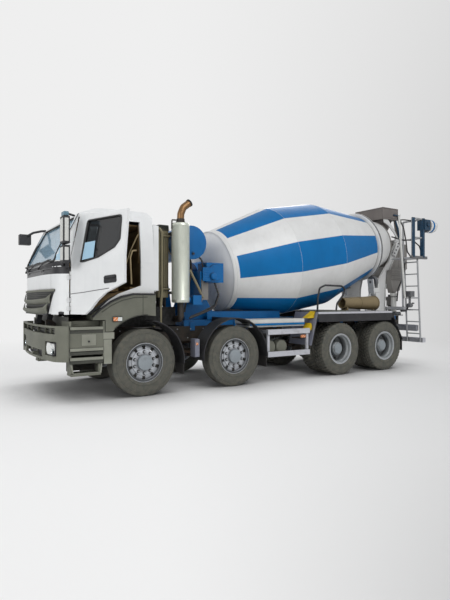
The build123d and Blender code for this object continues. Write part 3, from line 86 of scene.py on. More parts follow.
def add_node(tree: bpy.types.NodeTree, kind: str, settings: Mapping[str, Any] | None = None,
             sockets: Mapping[str | int, Any] | None = None) -> bpy.types.Node:
    """Adds one node with its settings, socket values and links.

    Args:
        tree: The tree that gets the node.
        kind: The node's class name.
        settings: Attribute names and values.
        sockets: Input names or numbers, each with a value or with the output that feeds it.

    Returns:
        The new node.
    """
    node = tree.nodes.new(kind)
    for key, value in (settings or {}).items():
        setattr(node, key, value)
    for key, value in (sockets or {}).items():
        if isinstance(value, bpy.types.NodeSocket):
            tree.links.new(value, node.inputs[key])
        else:
            node.inputs[key].default_value = value
    return node


class Recipe:
    """A material's node tree while it is filled, with the few patterns that its finishes share."""

    def __init__(self, name: str) -> None:
        """Starts an empty material.

        Args:
            name: The material's name.
        """
        self.material = bpy.data.materials.new(name)
        self.material.use_nodes = True
        self.tree = self.material.node_tree
        self.tree.nodes.clear()
        self.place = self.node("ShaderNodeTexCoord").outputs["Object"]

    def node(self, kind: str, settings: Mapping[str, Any] | None = None,
             sockets: Mapping[str | int, Any] | None = None) -> bpy.types.Node:
        """Adds a node to this material's tree."""
        return add_node(self.tree, kind, settings, sockets)

    def noise(self, size_mm: float, detail: float = 3.0, stretch: Point = (1, 1, 1)) -> bpy.types.NodeSocket:
        """Gives a noise value between 0 and 1.

        Args:
            size_mm: The size of its features.
            detail: How many finer layers it has.
            stretch: Scales along X, Y and Z, below 1 for features drawn out that way.

        Returns:
            The noise's factor output.
        """
        mapped = self.node("ShaderNodeMapping", {}, {"Vector": self.place, "Scale": stretch})
        found = self.node("ShaderNodeTexNoise", {},
                          {"Vector": mapped.outputs[0], "Scale": per_metre(size_mm), "Detail": detail,
                           "Roughness": 0.55})
        return found.outputs["Fac"]

    def span(self, value: bpy.types.NodeSocket, low: float, high: float, start: float = 0.0,
             stop: float = 1.0) -> bpy.types.NodeSocket:
        """Maps a value from one range to another, clamped."""
        return self.node("ShaderNodeMapRange", {}, {"Value": value, "From Min": low, "From Max": high,
                                                    "To Min": start, "To Max": stop}).outputs[0]

    def maths(self, operation: str, first: Any, second: Any = 0.0) -> bpy.types.NodeSocket:
        """Gives the result of one arithmetic operation on two values."""
        return self.node("ShaderNodeMath", {"operation": operation}, {0: first, 1: second}).outputs[0]

    def mix(self, factor: Any, first: Any, second: Any, blend: str = "MIX") -> bpy.types.NodeSocket:
        """Mixes two colours by a factor."""
        found = self.node("ShaderNodeMix", {"data_type": "RGBA", "blend_type": blend},
                          {0: factor, 6: first, 7: second})
        return found.outputs[2]

    def mottled(self, colour: str, other: str, size_mm: float, amount: float = 1.0) -> bpy.types.NodeSocket:
        """Gives a colour that wanders softly towards another one."""
        return self.mix(self.span(self.noise(size_mm), 0.35, 0.7, 0.0, amount), linear(colour),
                        linear(other))

    def corner_shade(self, colour: Any, corner_shade_colour: str, reach: float, amount: float) -> bpy.types.NodeSocket:
        """Darkens a colour in seams and corners with ambient occlusion, as painted shade.

        Args:
            colour: The colour before its painted shade.
            corner_shade_colour: The painted shade's colour.
            reach: How far from a corner the painted shade reaches, in metres.
            amount: Its strength, from 0 to 1.

        Returns:
            The colour with its painted shade.
        """
        shade = self.node("ShaderNodeAmbientOcclusion", {"samples": 6}, {"Distance": reach}).outputs["AO"]
        return self.mix(self.span(shade, 0.35, 0.95, amount, 0.0), colour, linear(corner_shade_colour))

    def dusted(self, colour: Any, dust: str, low: float, high: float, amount: float) -> bpy.types.NodeSocket:
        """Lays road dust on a colour, thickest at the height low and gone at the height high."""
        height = self.node("ShaderNodeSeparateXYZ", {}, {0: self.place}).outputs[2]
        fade = self.span(height, low, high, 1.0, 0.0)
        patch = self.span(self.noise(90.0, 5.0), 0.3, 0.75, 0.25, 1.0)
        return self.mix(self.maths("MULTIPLY", self.maths("MULTIPLY", fade, patch), amount), colour,
                        linear(dust))

    def bump(self, height: bpy.types.NodeSocket, depth_mm: float,
             strength: float = 1.0) -> bpy.types.NodeSocket:
        """Gives the normal of a relief of a real depth."""
        return self.node("ShaderNodeBump", {}, {"Strength": strength, "Distance": depth_mm / 1000,
                                                "Height": height}).outputs[0]

    def finish(self, **sockets: Any) -> bpy.types.Material:
        """Adds the shader with its sockets and closes the material.

        Args:
            sockets: Shader inputs, their spaces written as underscores.

        Returns:
            The finished material.
        """
        named = {key.replace("_", " "): value for key, value in sockets.items()}
        shader = self.node("ShaderNodeBsdfPrincipled", {}, named)
        self.node("ShaderNodeOutputMaterial", {}, {"Surface": shader.outputs[0]})
        return self.material


# ---------------------------------------------------------------- finishes
@dataclass(frozen=True)
class Finish:
    """A named finish of one real material."""

    name: str
    colour: str
    roughness: float = 0.5
    slot: str = "trim"

    def build(self) -> bpy.types.Material:
        """Makes the material; each kind of finish has its own way."""
        raise NotImplementedError

    def material(self) -> bpy.types.Material:
        """Returns the material, made at its first use."""
        return bpy.data.materials.get(self.name) or self.build()


@dataclass(frozen=True)
class Enamel(Finish):
    """Sprayed two-pack enamel on steel: a smooth gloss with faint orange peel, and painted shade in its
    seams.
    """

    shade: str = "#b9bab8"
    # colour of the painted shade in seams and corners
    corner_shade_colour: str = "#23231f"
    dust_top: float = 0.0
    # strength of the painted shade in seams and corners
    corner_shade: float = 0.85
    coat: float = 0.15
    gloss: float = 0.35
    band: tuple[float, float] | None = None

    def build(self) -> bpy.types.Material:
        """Makes the enamel's material."""
        recipe = Recipe(self.name)
        colour = recipe.mottled(self.colour, self.shade, 420.0, 0.35)
        streak = recipe.span(recipe.noise(60.0, 4.0, (1, 1, 0.08)), 0.5, 0.8, 0.0, 0.22)
        colour = recipe.mix(streak, colour, linear(self.shade))
        if self.dust_top:
            colour = recipe.dusted(colour, "#8d877b", 0.3, self.dust_top, 0.5)
        if self.band:
            height = recipe.node("ShaderNodeSeparateXYZ", {}, {0: recipe.place}).outputs[2]
            inside = recipe.maths("MULTIPLY", recipe.maths("GREATER_THAN", height, self.band[0]),
                                  recipe.maths("LESS_THAN", height, self.band[1]))
            colour = recipe.mix(inside, colour, linear("#2a2a2d"))
        # painted shade: ambient occlusion darkens seams and corners
        colour = recipe.corner_shade(colour, self.corner_shade_colour, 0.03, self.corner_shade)
        rough = recipe.span(recipe.noise(35.0), 0.3, 0.8, self.roughness, self.roughness + 0.12)
        peel = recipe.bump(recipe.noise(6.0, 1.0), 0.05, 0.5)
        return recipe.finish(Base_Color=colour, Roughness=rough, Normal=peel, IOR=1.5, Coat_Weight=self.coat,
                             Coat_Roughness=0.1, Specular_IOR_Level=self.gloss)


@dataclass(frozen=True)
class MouldedPlastic(Finish):
    """Grained polypropylene from a mould: dull, with a fine leather-like grain and paler scuffs."""

    shade: str = "#55564d"
    grain_mm: float = 5.0  # the true grain is 1 mm; drawn coarser so that it shows

    def build(self) -> bpy.types.Material:
        """Makes the plastic's material."""
        recipe = Recipe(self.name)
        colour = recipe.mottled(self.colour, self.shade, 260.0, 0.6)
        scuff = recipe.span(recipe.noise(22.0, 6.0, (0.25, 0.25, 1)), 0.62, 0.82, 0.0, 0.35)
        colour = recipe.mix(scuff, colour, linear("#85867b"))
        # painted shade: ambient occlusion darkens seams and corners
        colour = recipe.corner_shade(colour, "#12120f", 0.03, 0.9)
        rough = recipe.span(recipe.noise(18.0), 0.3, 0.8, self.roughness, self.roughness + 0.15)
        grain = recipe.node("ShaderNodeTexVoronoi", {},
                            {"Vector": recipe.place, "Scale": per_metre(self.grain_mm)})
        return recipe.finish(Base_Color=colour, Roughness=rough, IOR=1.49,
                             Normal=recipe.bump(grain.outputs["Distance"], 0.25, 0.6))


@dataclass(frozen=True)
class TyreRubber(Finish):
    """Cured carbon-black rubber, dry and dusty from the road, with faint rings from its mould."""

    dust: str = "#6b675b"

    def build(self) -> bpy.types.Material:
        """Makes the rubber's material."""
        recipe = Recipe(self.name)
        colour = recipe.mottled(self.colour, self.dust, 70.0, 0.55)
        speck = recipe.span(recipe.noise(9.0, 6.0), 0.45, 0.75, 0.0, 0.4)
        colour = recipe.mix(speck, colour, linear(self.dust))
        # painted shade: ambient occlusion darkens grooves and corners
        colour = recipe.corner_shade(colour, "#0b0b0a", 0.02, 0.95)
        grain = recipe.bump(recipe.noise(4.0, 2.0), 0.3, 0.5)
        return recipe.finish(Base_Color=colour, Roughness=self.roughness, IOR=1.52, Normal=grain)


@dataclass(frozen=True)
class Metal(Finish):
    """Bare or thinly coated metal: brushed, rolled or cast, its lines drawn out along one way."""

    shade: str = "#6e6e6a"
    metallic: float = 0.8
    brush: tuple[float, float, float] = (1.0, 1.0, 0.05)
    stain: str = "#4a4136"
    stained: float = 0.35
    # how far the painted shade in corners reaches
    reach: float = 0.025

    def build(self) -> bpy.types.Material:
        """Makes the metal's material."""
        recipe = Recipe(self.name)
        lines = recipe.noise(5.0, 3.0, self.brush)
        colour = recipe.mix(recipe.span(lines, 0.35, 0.7, 0.0, 0.45), linear(self.colour),
                            linear(self.shade))
        blot = recipe.span(recipe.noise(140.0, 6.0), 0.52, 0.78, 0.0, self.stained)
        colour = recipe.mix(blot, colour, linear(self.stain))
        # painted shade: ambient occlusion darkens seams and corners
        colour = recipe.corner_shade(colour, "#151310", self.reach, 0.85)
        rough = recipe.span(lines, 0.3, 0.75, self.roughness, self.roughness + 0.15)
        return recipe.finish(Base_Color=colour, Roughness=rough, Metallic=self.metallic,
                             Normal=recipe.bump(lines, 0.06, 0.4))


@dataclass(frozen=True)
class Grimy(Finish):
    """Chassis black under old grease and road film, which is what a frame and its axles wear."""

    film: str = "#3a3026"

    def build(self) -> bpy.types.Material:
        """Makes the material of greasy steel."""
        recipe = Recipe(self.name)
        colour = recipe.mottled(self.colour, self.film, 110.0, 0.9)
        colour = recipe.dusted(colour, "#5d564b", 0.2, 1.1, 0.35)
        # painted shade: ambient occlusion darkens seams and corners
        colour = recipe.corner_shade(colour, "#060606", 0.05, 0.9)
        rough = recipe.span(recipe.noise(45.0, 5.0), 0.3, 0.75, self.roughness - 0.2, self.roughness + 0.15)
        return recipe.finish(Base_Color=colour, Roughness=rough, IOR=1.5,
                             Normal=recipe.bump(recipe.noise(14.0, 4.0), 0.6, 0.5))


@dataclass(frozen=True)
class Glazing(Finish):
    """Tinted float glass, its tint in the body of the pane and its gloss in the surface, with a painted
    reflection mixed into its colour.
    """

    tint: float = 0.35
    # colour of the painted reflection
    reflection_colour: str = "#7ea2b8"

    def build(self) -> bpy.types.Material:
        """Makes the glass's material, its colour partly the glass's own and partly a painted reflection."""
        recipe = Recipe(self.name)
        # painted reflection: broad noise sweeps mix the pane's colour with the reflection's colour
        reflection_sweep = recipe.noise(900.0, 1.0, (1, 1, 0.4))
        colour = recipe.mix(recipe.span(reflection_sweep, 0.35, 0.65), linear(self.colour), linear(self.reflection_colour))
        film = recipe.span(recipe.noise(160.0, 4.0), 0.35, 0.8, self.roughness, self.roughness + 0.06)
        return recipe.finish(Base_Color=colour, Roughness=film, IOR=1.5, Alpha=self.tint,
                             Specular_IOR_Level=0.6)


@dataclass(frozen=True)
class Lens(Finish):
    """Moulded acrylic lens with fine flutes over a bright or coloured back; the flutes' pale bands are
    painted highlights.
    """


    def build(self) -> bpy.types.Material:
        """Makes the lens's material."""
        recipe = Recipe(self.name)
        flutes = recipe.node("ShaderNodeTexWave", {"bands_direction": "DIAGONAL"},
                             {"Vector": recipe.place, "Scale": per_metre(14.0) / 6.0, "Distortion": 0.0})
        # painted highlights: pale bands along the flutes
        colour = recipe.mix(recipe.span(flutes.outputs["Fac"], 0.3, 0.8, 0.0, 0.35), linear(self.colour),
                            linear("#f4efe6"))
        return recipe.finish(Base_Color=colour, Roughness=self.roughness, IOR=1.49, Coat_Weight=0.8,
                             Coat_Roughness=0.03, Normal=recipe.bump(flutes.outputs["Fac"], 0.6, 0.5))


@dataclass(frozen=True)
class SeatCloth(Finish):
    """Woven polyester seat cover: a ribbed weave with a soft sheen, worn paler where people sit."""

    shade: str = "#4f3f26"
    thread_mm: float = 9.0  # the true ribs are 2 mm apart; drawn coarser so that they show

    def build(self) -> bpy.types.Material:
        """Makes the cloth's material."""
        recipe = Recipe(self.name)
        rib = recipe.node("ShaderNodeTexWave", {"bands_direction": "Y"},
                          {"Vector": recipe.place, "Scale": per_metre(self.thread_mm) / 6.0,
                           "Distortion": 0.6, "Detail": 2.0})
        colour = recipe.mix(recipe.span(rib.outputs["Fac"], 0.2, 0.8, 0.0, 0.5), linear(self.colour),
                            linear(self.shade))
        colour = recipe.mix(recipe.span(recipe.noise(120.0), 0.45, 0.75, 0.0, 0.5), colour,
                            linear("#7d6a48"))
        # painted shade: ambient occlusion darkens seams and corners
        colour = recipe.corner_shade(colour, "#120d06", 0.05, 0.9)
        return recipe.finish(Base_Color=colour, Roughness=self.roughness, Sheen_Weight=0.25,
                             Normal=recipe.bump(rib.outputs["Fac"], 0.8, 0.6))


class Paint(Enum):
    """The truck's finishes, named for what each surface is made of."""

    CAB = Enamel("white_cab_enamel", "#e4e5e5", 0.34, "cab_white", shade="#cfd1d2", dust_top=1.0)
    CAB_FACE = Enamel("white_face_enamel", "#e4e5e5", 0.34, "cab_white", shade="#cfd1d2", dust_top=1.0,
                      band=(1.893, 1.995))
    DRUM_WHITE = Enamel("white_drum_enamel", "#d9d9d8", 0.42, "mixer_white", shade="#bdbcba", corner_shade=0.6)
    DRUM_BLUE = Enamel("blue_drum_enamel", "#0069a8", 0.42, "mixer_blue", shade="#005688", corner_shade=0.6,
                       coat=0.0, gloss=0.2)
    BODY_BLUE = Enamel("blue_frame_enamel", "#0064a4", 0.4, "mixer_blue", shade="#004677", dust_top=1.2,
                       coat=0.1, gloss=0.3)
    PALE_GREY = Enamel("grey_pedestal_enamel", "#cfcfcb", 0.45, "mixer_white", shade="#a9a9a4")
    STEEL_GREY = Enamel("grey_machine_enamel", "#86837f", 0.5, "grey_paint", shade="#625f5b")
    KHAKI = Enamel("khaki_enamel", "#8a8268", 0.5, "khaki", shade="#6a634c")
    YELLOW = MouldedPlastic("yellow_chock_plastic", "#d8b713", 0.5, "trim", shade="#b08f0c")
    OLIVE = MouldedPlastic("olive_bumper_plastic", "#6f7064", 0.55, "trim", shade="#5c5d53")
    BLACK_TRIM = MouldedPlastic("black_trim_plastic", "#26262a", 0.5, "black_plastic", shade="#17171a")
    MUDGUARD = MouldedPlastic("black_mudguard_plastic", "#1f1f21", 0.55, "black_plastic", shade="#2f2f31")
    GRILLE = MouldedPlastic("dark_grille_plastic", "#3f4039", 0.5, "trim", shade="#31322c")
    RUBBER = TyreRubber("tyre_rubber", "#4c4d48", 0.82, "tyre")
    SEAL = TyreRubber("window_seal_rubber", "#1b1b1c", 0.6, "tyre", dust="#2a2a2a")
    HOSE = TyreRubber("hose_rubber", "#201f1f", 0.5, "tyre", dust="#34312e")
    RIM = Metal("silver_rim_lacquer", "#c6c9ce", 0.45, "wheel_grey", shade="#9da2a8", metallic=0.25,
                stained=0.2, brush=(1, 1, 1), reach=0.06)
    DEEP_RIM = Metal("shaded_rim_lacquer", "#a9adaf", 0.5, "wheel_grey", shade="#7b7f82", metallic=0.2,
                     stained=0.4, brush=(1, 1, 1), reach=0.16)
    # dark grey for the ring over the rim's well: painted shade
    WELL = Metal("rim_well_painted_shade", "#4c4f52", 0.6, "wheel_grey", shade="#35373a", metallic=0.2,
                 brush=(1, 1, 1))
    HUB = Metal("grey_hub_casting", "#949ba0", 0.5, "wheel_grey", shade="#7d858a", metallic=0.3,
                brush=(1, 1, 1))
    NUT = Metal("zinc_wheel_nut", "#b4b7ba", 0.4, "wheel_grey", shade="#85878a", metallic=0.4,
                brush=(1, 1, 1))
    STAINLESS = Metal("stainless_silencer", "#d3d7cb", 0.32, "steel", shade="#b4b8ac", metallic=0.6,
                      stained=0.1)
    BRONZE = Metal("heat_tinted_pipe", "#8a6a48", 0.35, "steel", shade="#5f452c", metallic=0.8)
    ALUMINIUM = Metal("extruded_aluminium", "#c9cad0", 0.38, "aluminium", shade="#aeb0b8", metallic=0.55,
                      brush=(0.05, 1, 1))
    GALVANISED = Metal("galvanised_steel", "#7d7e80", 0.5, "grey_paint", shade="#5d5e60", metallic=0.6,
                       brush=(1, 1, 1))
    CHASSIS = Grimy("greasy_chassis_black", "#1c1a18", 0.6, "frame_dark")
    RUNNING = Grimy("greasy_axle_iron", "#2b2520", 0.55, "frame_dark", film="#4a3624")
    INNER = Grimy("dry_cement_film", "#3d3a36", 0.85, "grey_paint", film="#6b6760")
    # the windscreen's pale blue is partly its tint and partly a painted reflection
    SCREEN = Glazing("windscreen_tint_and_painted_reflection", "#a9cbe0", 0.03, "glass", tint=0.62)
    # the door pane's painted reflection is dark grey
    DARK_PANE = Glazing("tinted_door_pane", "#232425", 0.05, "glass", tint=0.95, reflection_colour="#2c2e30")
    MIRROR = Metal("mirror_glass", "#cfdbe0", 0.05, "glass", shade="#b5c6ce", metallic=1.0, stained=0.0,
                   brush=(1, 1, 1))
    HEADLAMP = Lens("clear_headlamp_lens", "#d9dcda", 0.12, "lamp")
    AMBER = Lens("amber_lamp_lens", "#e07a1e", 0.2, "lamp")
    RED = Lens("red_lamp_lens", "#a3141a", 0.2, "lamp")
    SEAT = SeatCloth("brown_seat_cloth", "#7a6440", 0.85, "fabric")
    LINING = MouldedPlastic("brown_cab_lining", "#75603f", 0.7, "fabric", shade="#574427")
    STEP = MouldedPlastic("worn_step_plastic", "#8d8e82", 0.5, "trim", shade="#74756a")
    WEBBING = MouldedPlastic("beige_belt_webbing", "#a08f6c", 0.7, "fabric", shade="#85765a")
    LAVENDER = Enamel("grey_flap_enamel", "#7d7f8c", 0.45, "grey_paint", shade="#666874")
    HOPPER = Enamel("cement_stained_enamel", "#746e6b", 0.55, "grey_paint", shade="#57524f")
    # the dish is the drum's white enamel painted lighter, with no corner shade: painted light for the shade
    # it stands in
    DISH = Enamel("white_dish_enamel_painted_lighter", "#f2f1ef", 0.5, "mixer_white", shade="#dedcd8", corner_shade=0.0,
                  gloss=0.2)
    LADDER = Enamel("pale_ladder_enamel", "#a3a4a6", 0.5, "grey_paint", shade="#7e8082")
    PIPE = Enamel("brown_pipe_enamel", "#7d6e50", 0.5, "khaki", shade="#5f5239")
    # the corner panes are opaque pale blue: a painted reflection
    CORNER_PANE = Glazing("corner_pane_painted_reflection", "#b4d2e4", 0.05, "glass", tint=1.0, reflection_colour="#9cc4dc")
    CAP = Enamel("grey_blue_cap_enamel", "#5d7f90", 0.4, "mixer_blue", shade="#466471")
    STAND_BLUE = Enamel("dark_blue_stand_enamel", "#123a55", 0.4, "mixer_blue", shade="#0b2638")
    # near-black for shade in holes, behind parts and round the nuts; in the tail pipe's mouth also soot
    BLACK = Grimy("black_painted_shade_and_soot", "#0b0b0b", 0.8, "trim", film="#121211")

    def material(self) -> bpy.types.Material:
        """Returns this finish's material."""
        return self.value.material()

    @property
    def slot(self) -> str:
        """The slot that this finish belongs to."""
        return self.value.slot


# ---------------------------------------------------------------- shapes
def unit(vector: Vector) -> Vector:
    """Returns the vector at length one."""
    return vector.normalized()


def arc(centre: tuple[float, float], radius: float, start: float, stop: float,
        steps: int) -> list[tuple[float, float]]:
    """Gives points on a circle's arc.

    Args:
        centre: The circle's centre.
        radius: Its radius.
        start: The first angle in degrees.
        stop: The last angle in degrees.
        steps: How many spans the arc has.

    Returns:
        The points, both ends included.
    """
    angles = [math.radians(start + (stop - start) * i / steps) for i in range(steps + 1)]
    return [(centre[0] + radius * math.cos(a), centre[1] + radius * math.sin(a)) for a in angles]


class Axis(Enum):
    """The direction that a profile is drawn out along, with the two directions that its points give."""

    X = ((0, 1, 0), (0, 0, 1), (1, 0, 0))
    Y = ((1, 0, 0), (0, 0, 1), (0, 1, 0))
    Z = ((1, 0, 0), (0, 1, 0), (0, 0, 1))

    def at(self, first: float, second: float, along: float) -> Vector:
        """Returns the point at two places across and one along this direction."""
        across, up, out = (Vector(v) for v in self.value)
        return across * first + up * second + out * along


class Shape:
    """A mesh under construction, in the truck's frame."""

    def __init__(self, *paints: Paint) -> None:
        """Starts an empty mesh.

        Args:
            paints: The finishes that it starts with.
        """
        self.mesh = bmesh.new()
        self.paints = list(paints)
        self.paint = 0

    def number(self, paint: Paint) -> int:
        """Returns a finish's number in this shape, which takes the finish up at its first use."""
        if paint not in self.paints:
            self.paints.append(paint)
        return self.paints.index(paint)

    def use(self, paint: Paint) -> None:
        """Sets the finish of everything that is added from here on."""
        self.paint = self.number(paint)

    def _closed(self, faces: Iterable[bmesh.types.BMFace]) -> list[bmesh.types.BMVert]:
        """Gives new faces their material number and outward normals, and returns their corners."""
        faces = list(faces)
        for face in faces:
            face.material_index = self.paint
        bmesh.ops.recalc_face_normals(self.mesh, faces=faces)
        return list({v for f in faces for v in f.verts})

    def block(self, low: Point, high: Point) -> list[bmesh.types.BMVert]:
        """Adds a box between two corners."""
        outline = [(low[0], low[1]), (high[0], low[1]), (high[0], high[1]), (low[0], high[1])]
        return self.prism(outline, Axis.Z, low[2], high[2])

    def prism(self, outline: Outline, axis: Axis, start: float, stop: float) -> list[bmesh.types.BMVert]:
        """Adds a plate of an outline.

        Args:
            outline: Its corners across the axis.
            axis: The direction through the plate.
            start: Where it starts along the axis.
            stop: Where it stops.

        Returns:
            Its corners.
        """
        rings = [[self.mesh.verts.new(axis.at(a, b, w)) for a, b in outline] for w in (start, stop)]
        count = len(outline)
        faces = [self.mesh.faces.new(rings[0]), self.mesh.faces.new(rings[1][::-1])]
        for i in range(count):
            j = (i + 1) % count
            faces.append(self.mesh.faces.new((rings[0][j], rings[0][i], rings[1][i], rings[1][j])))
        return self._closed(faces)

    def wedge(self, corners: Sequence[Point]) -> list[bmesh.types.BMVert]:
        """Adds a six-faced body from its eight corners, four below and the four above them."""
        at = [self.mesh.verts.new(c) for c in corners]
        sides = [(0, 1, 5, 4), (1, 2, 6, 5), (2, 3, 7, 6), (3, 0, 4, 7), (0, 1, 2, 3), (4, 5, 6, 7)]
        return self._closed([self.mesh.faces.new([at[i] for i in side]) for side in sides])

    def lathe(self, profile: Outline, origin: Point, axis: Point, steps: int = 48,
              closed: bool = True) -> list[bmesh.types.BMVert]:
        """Adds a body turned about an axis.

        Args:
            profile: (radius, along) points; a radius of 0 closes the body there.
            origin: A point on the axis.
            axis: The axis's direction.
            steps: How many spans go round.
            closed: Whether the last point joins the first.

        Returns:
            Its corners.
        """
        out = unit(Vector(axis))
        side = unit(out.cross(Vector((0, 0, 1)) if abs(out.z) < 0.9 else Vector((1, 0, 0))))
        up = out.cross(side)
        rings = []
        for radius, along in profile:
            centre = Vector(origin) + out * along
            if radius <= 1e-6:
                rings.append([self.mesh.verts.new(centre)] * steps)
                continue
            turn = [2 * math.pi * i / steps for i in range(steps)]
            rings.append([self.mesh.verts.new(centre + radius * (side * math.cos(a) + up * math.sin(a)))
                          for a in turn])
        pairs = list(zip(rings, rings[1:])) + ([(rings[-1], rings[0])] if closed else [])
        faces = []
        for first, second in pairs:
            for i in range(steps):
                j = (i + 1) % steps
                corners = list(dict.fromkeys((first[i], first[j], second[j], second[i])))
                if len(corners) > 2:
                    faces.append(self.mesh.faces.new(corners))
        return self._closed(faces)

    def rod(self, start: Point, stop: Point, radius: float, steps: int = 20,
            bevel: float = 0.0) -> list[bmesh.types.BMVert]:
        """Adds a round bar between two points, its ends chamfered by bevel."""
        length = (Vector(stop) - Vector(start)).length
        edge = min(bevel, radius * 0.6)
        profile = [(0, 0), (radius, 0), (radius, length), (0, length)]
        if edge:
            profile = [(0, 0), (radius - edge, 0), (radius, edge), (radius, length - edge),
                       (radius - edge, length), (0, length)]
        return self.lathe(profile, start, Vector(stop) - Vector(start), steps, closed=False)

    def tube(self, points: Sequence[Point], radius: float, bend: float = 0.0, steps: int = 14,
             capped: bool = True) -> list[bmesh.types.BMVert]:
        """Adds a round tube along straight runs with rounded corners.

        Args:
            points: The runs' ends.
            radius: The tube's radius.
            bend: The corners' radius.
            steps: How many spans go round.
            capped: Whether its ends are closed.

        Returns:
            Its corners.
        """
        path = rounded_path(points, bend)
        rings: list[list[bmesh.types.BMVert]] = []
        lead = unit(path[1] - path[0])
        side = unit(lead.cross(Vector((0.13, 0.31, 0.94)))) if abs(lead.z) < 0.95 else Vector((1, 0, 0))
        for i, point in enumerate(path):
            before = path[i] - path[i - 1] if i else path[1] - path[0]
            after = path[i + 1] - path[i] if i + 1 < len(path) else before
            along = unit(unit(before) + unit(after))
            side = unit(side - along * side.dot(along))
            up = along.cross(side)
            grow = 1.0 / max(0.5, along.dot(unit(before))) if bend == 0 else 1.0
            turns = [2 * math.pi * k / steps for k in range(steps)]
            ring = [self.mesh.verts.new(point + radius * (side * math.cos(a) * grow + up * math.sin(a)))
                    for a in turns]
            rings.append(ring)
        faces = []
        for first, second in zip(rings, rings[1:]):
            for i in range(steps):
                j = (i + 1) % steps
                faces.append(self.mesh.faces.new((first[i], first[j], second[j], second[i])))
        if capped:
            faces += [self.mesh.faces.new(rings[0]), self.mesh.faces.new(rings[-1][::-1])]
        return self._closed(faces)

    def sheet(self, rows: Sequence[Sequence[Point]], thick: float) -> list[bmesh.types.BMVert]:
        """Adds a closed curved sheet from rows of points, drawn out by thick along its own normals."""
        grid = [[Vector(p) for p in row] for row in rows]
        high, wide = len(grid), len(grid[0])
        front, back = [], []
        for r in range(high):
            front_row, back_row = [], []
            for c in range(wide):
                across = grid[r][min(c + 1, wide - 1)] - grid[r][max(c - 1, 0)]
                down = grid[min(r + 1, high - 1)][c] - grid[max(r - 1, 0)][c]
                normal = unit(across.cross(down))
                front_row.append(self.mesh.verts.new(grid[r][c]))
                back_row.append(self.mesh.verts.new(grid[r][c] + normal * thick))
            front.append(front_row)
            back.append(back_row)
        faces = []
        for r in range(high - 1):
            for c in range(wide - 1):
                for layer in (front, back):
                    faces.append(self.mesh.faces.new((layer[r][c], layer[r][c + 1], layer[r + 1][c + 1],
                                                      layer[r + 1][c])))
        rim = [(0, c) for c in range(wide)] + [(r, wide - 1) for r in range(1, high)]
        rim += [(high - 1, c) for c in range(wide - 2, -1, -1)] + [(r, 0) for r in range(high - 2, 0, -1)]
        for (r0, c0), (r1, c1) in zip(rim, rim[1:] + rim[:1]):
            faces.append(self.mesh.faces.new((front[r0][c0], front[r1][c1], back[r1][c1], back[r0][c0])))
        return self._closed(faces)

    def move(self, corners: Iterable[bmesh.types.BMVert], matrix: Matrix) -> None:
        """Moves some corners by a matrix."""
        bmesh.ops.transform(self.mesh, matrix=matrix, verts=list(corners))

    def shown(self, name: str, materials: Iterable[bpy.types.Material],
              smooth: float = 35.0) -> bpy.types.Object:
        """Closes the shape as an object of the scene.

        Args:
            name: The object's name.
            materials: Its materials, in the order of the shape's finishes.
            smooth: Edges flatter than this many degrees are shaded smooth.

        Returns:
            The object.
        """
        mesh = bpy.data.meshes.new(name)
        self.mesh.to_mesh(mesh)
        self.mesh.free()
        for material in materials:
            mesh.materials.append(material)
        mesh.polygons.foreach_set("use_smooth", [True] * len(mesh.polygons))
        mesh.set_sharp_from_angle(angle=math.radians(smooth))
        made = bpy.data.objects.new(name, mesh)
        bpy.context.scene.collection.objects.link(made)
        return made

    def piece(self, name: str, body: str, replaces: Sequence[str] = (), smooth: float = 35.0,
              bevel: float = 0.0) -> None:
        """Closes the shape as a piece that rides on a body.

        Args:
            name: The piece's name.
            body: The body that carries it.
            replaces: Solids that it stands for.
            smooth: Edges flatter than this many degrees are shaded smooth.
            bevel: Width of a rounding on its sharp edges.
        """
        piece = self.shown(name, [paint.material() for paint in self.paints], smooth)
        round_edges(piece, bevel)
        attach(piece, body)
        self.paints[0].slot
        if replaces:
            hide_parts(*replaces)
        LOG.info("%s: %d faces", name, len(piece.data.polygons))


def round_edges(solid: bpy.types.Object, width: float) -> None:
    """Rounds an object's sharp edges to a width, or leaves them sharp where it is nothing."""
    if width:
        rounding = solid.modifiers.new("edge_rounding", "BEVEL")
        rounding.width = width
        rounding.segments = 2
        rounding.limit_method = "ANGLE"
        rounding.angle_limit = math.radians(40)


def rounded_path(points: Iterable[Point], bend: float, spans: int = 8) -> list[Vector]:
    """Gives the points of a path whose corners are rounded.

    Args:
        points: The path's corners and ends.
        bend: The radius of its corners, less where a run is short.
        spans: How many spans each corner has.

    Returns:
        The rounded path's points.
    """
    points = [Vector(p) for p in points]
    if bend <= 0 or len(points) < 3:
        return points
    path = [points[0]]
    for before, corner, after in zip(points, points[1:], points[2:]):
        back, ahead = unit(before - corner), unit(after - corner)
        half = back.angle(ahead) / 2
        reach = min(bend / math.tan(half), (before - corner).length * 0.49, (after - corner).length * 0.49)
        first, last = corner + back * reach, corner + ahead * reach
        for i in range(spans + 1):
            t = i / spans
            path.append(first * (1 - t) ** 2 + corner * 2 * t * (1 - t) + last * t ** 2)
    return path + [points[-1]]


def dress(node: str, paint: Paint, bevel: float = 0.0) -> None:
    """Gives a solid its finish.

    Args:
        node: The solid's name.
        paint: Its finish.
        bevel: Width of a rounding on its sharp edges.
    """
    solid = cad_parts[node]
    solid.data.materials.clear()
    solid.data.materials.append(paint.material())
    round_edges(solid, bevel)
    LOG.info("%s dressed", node)


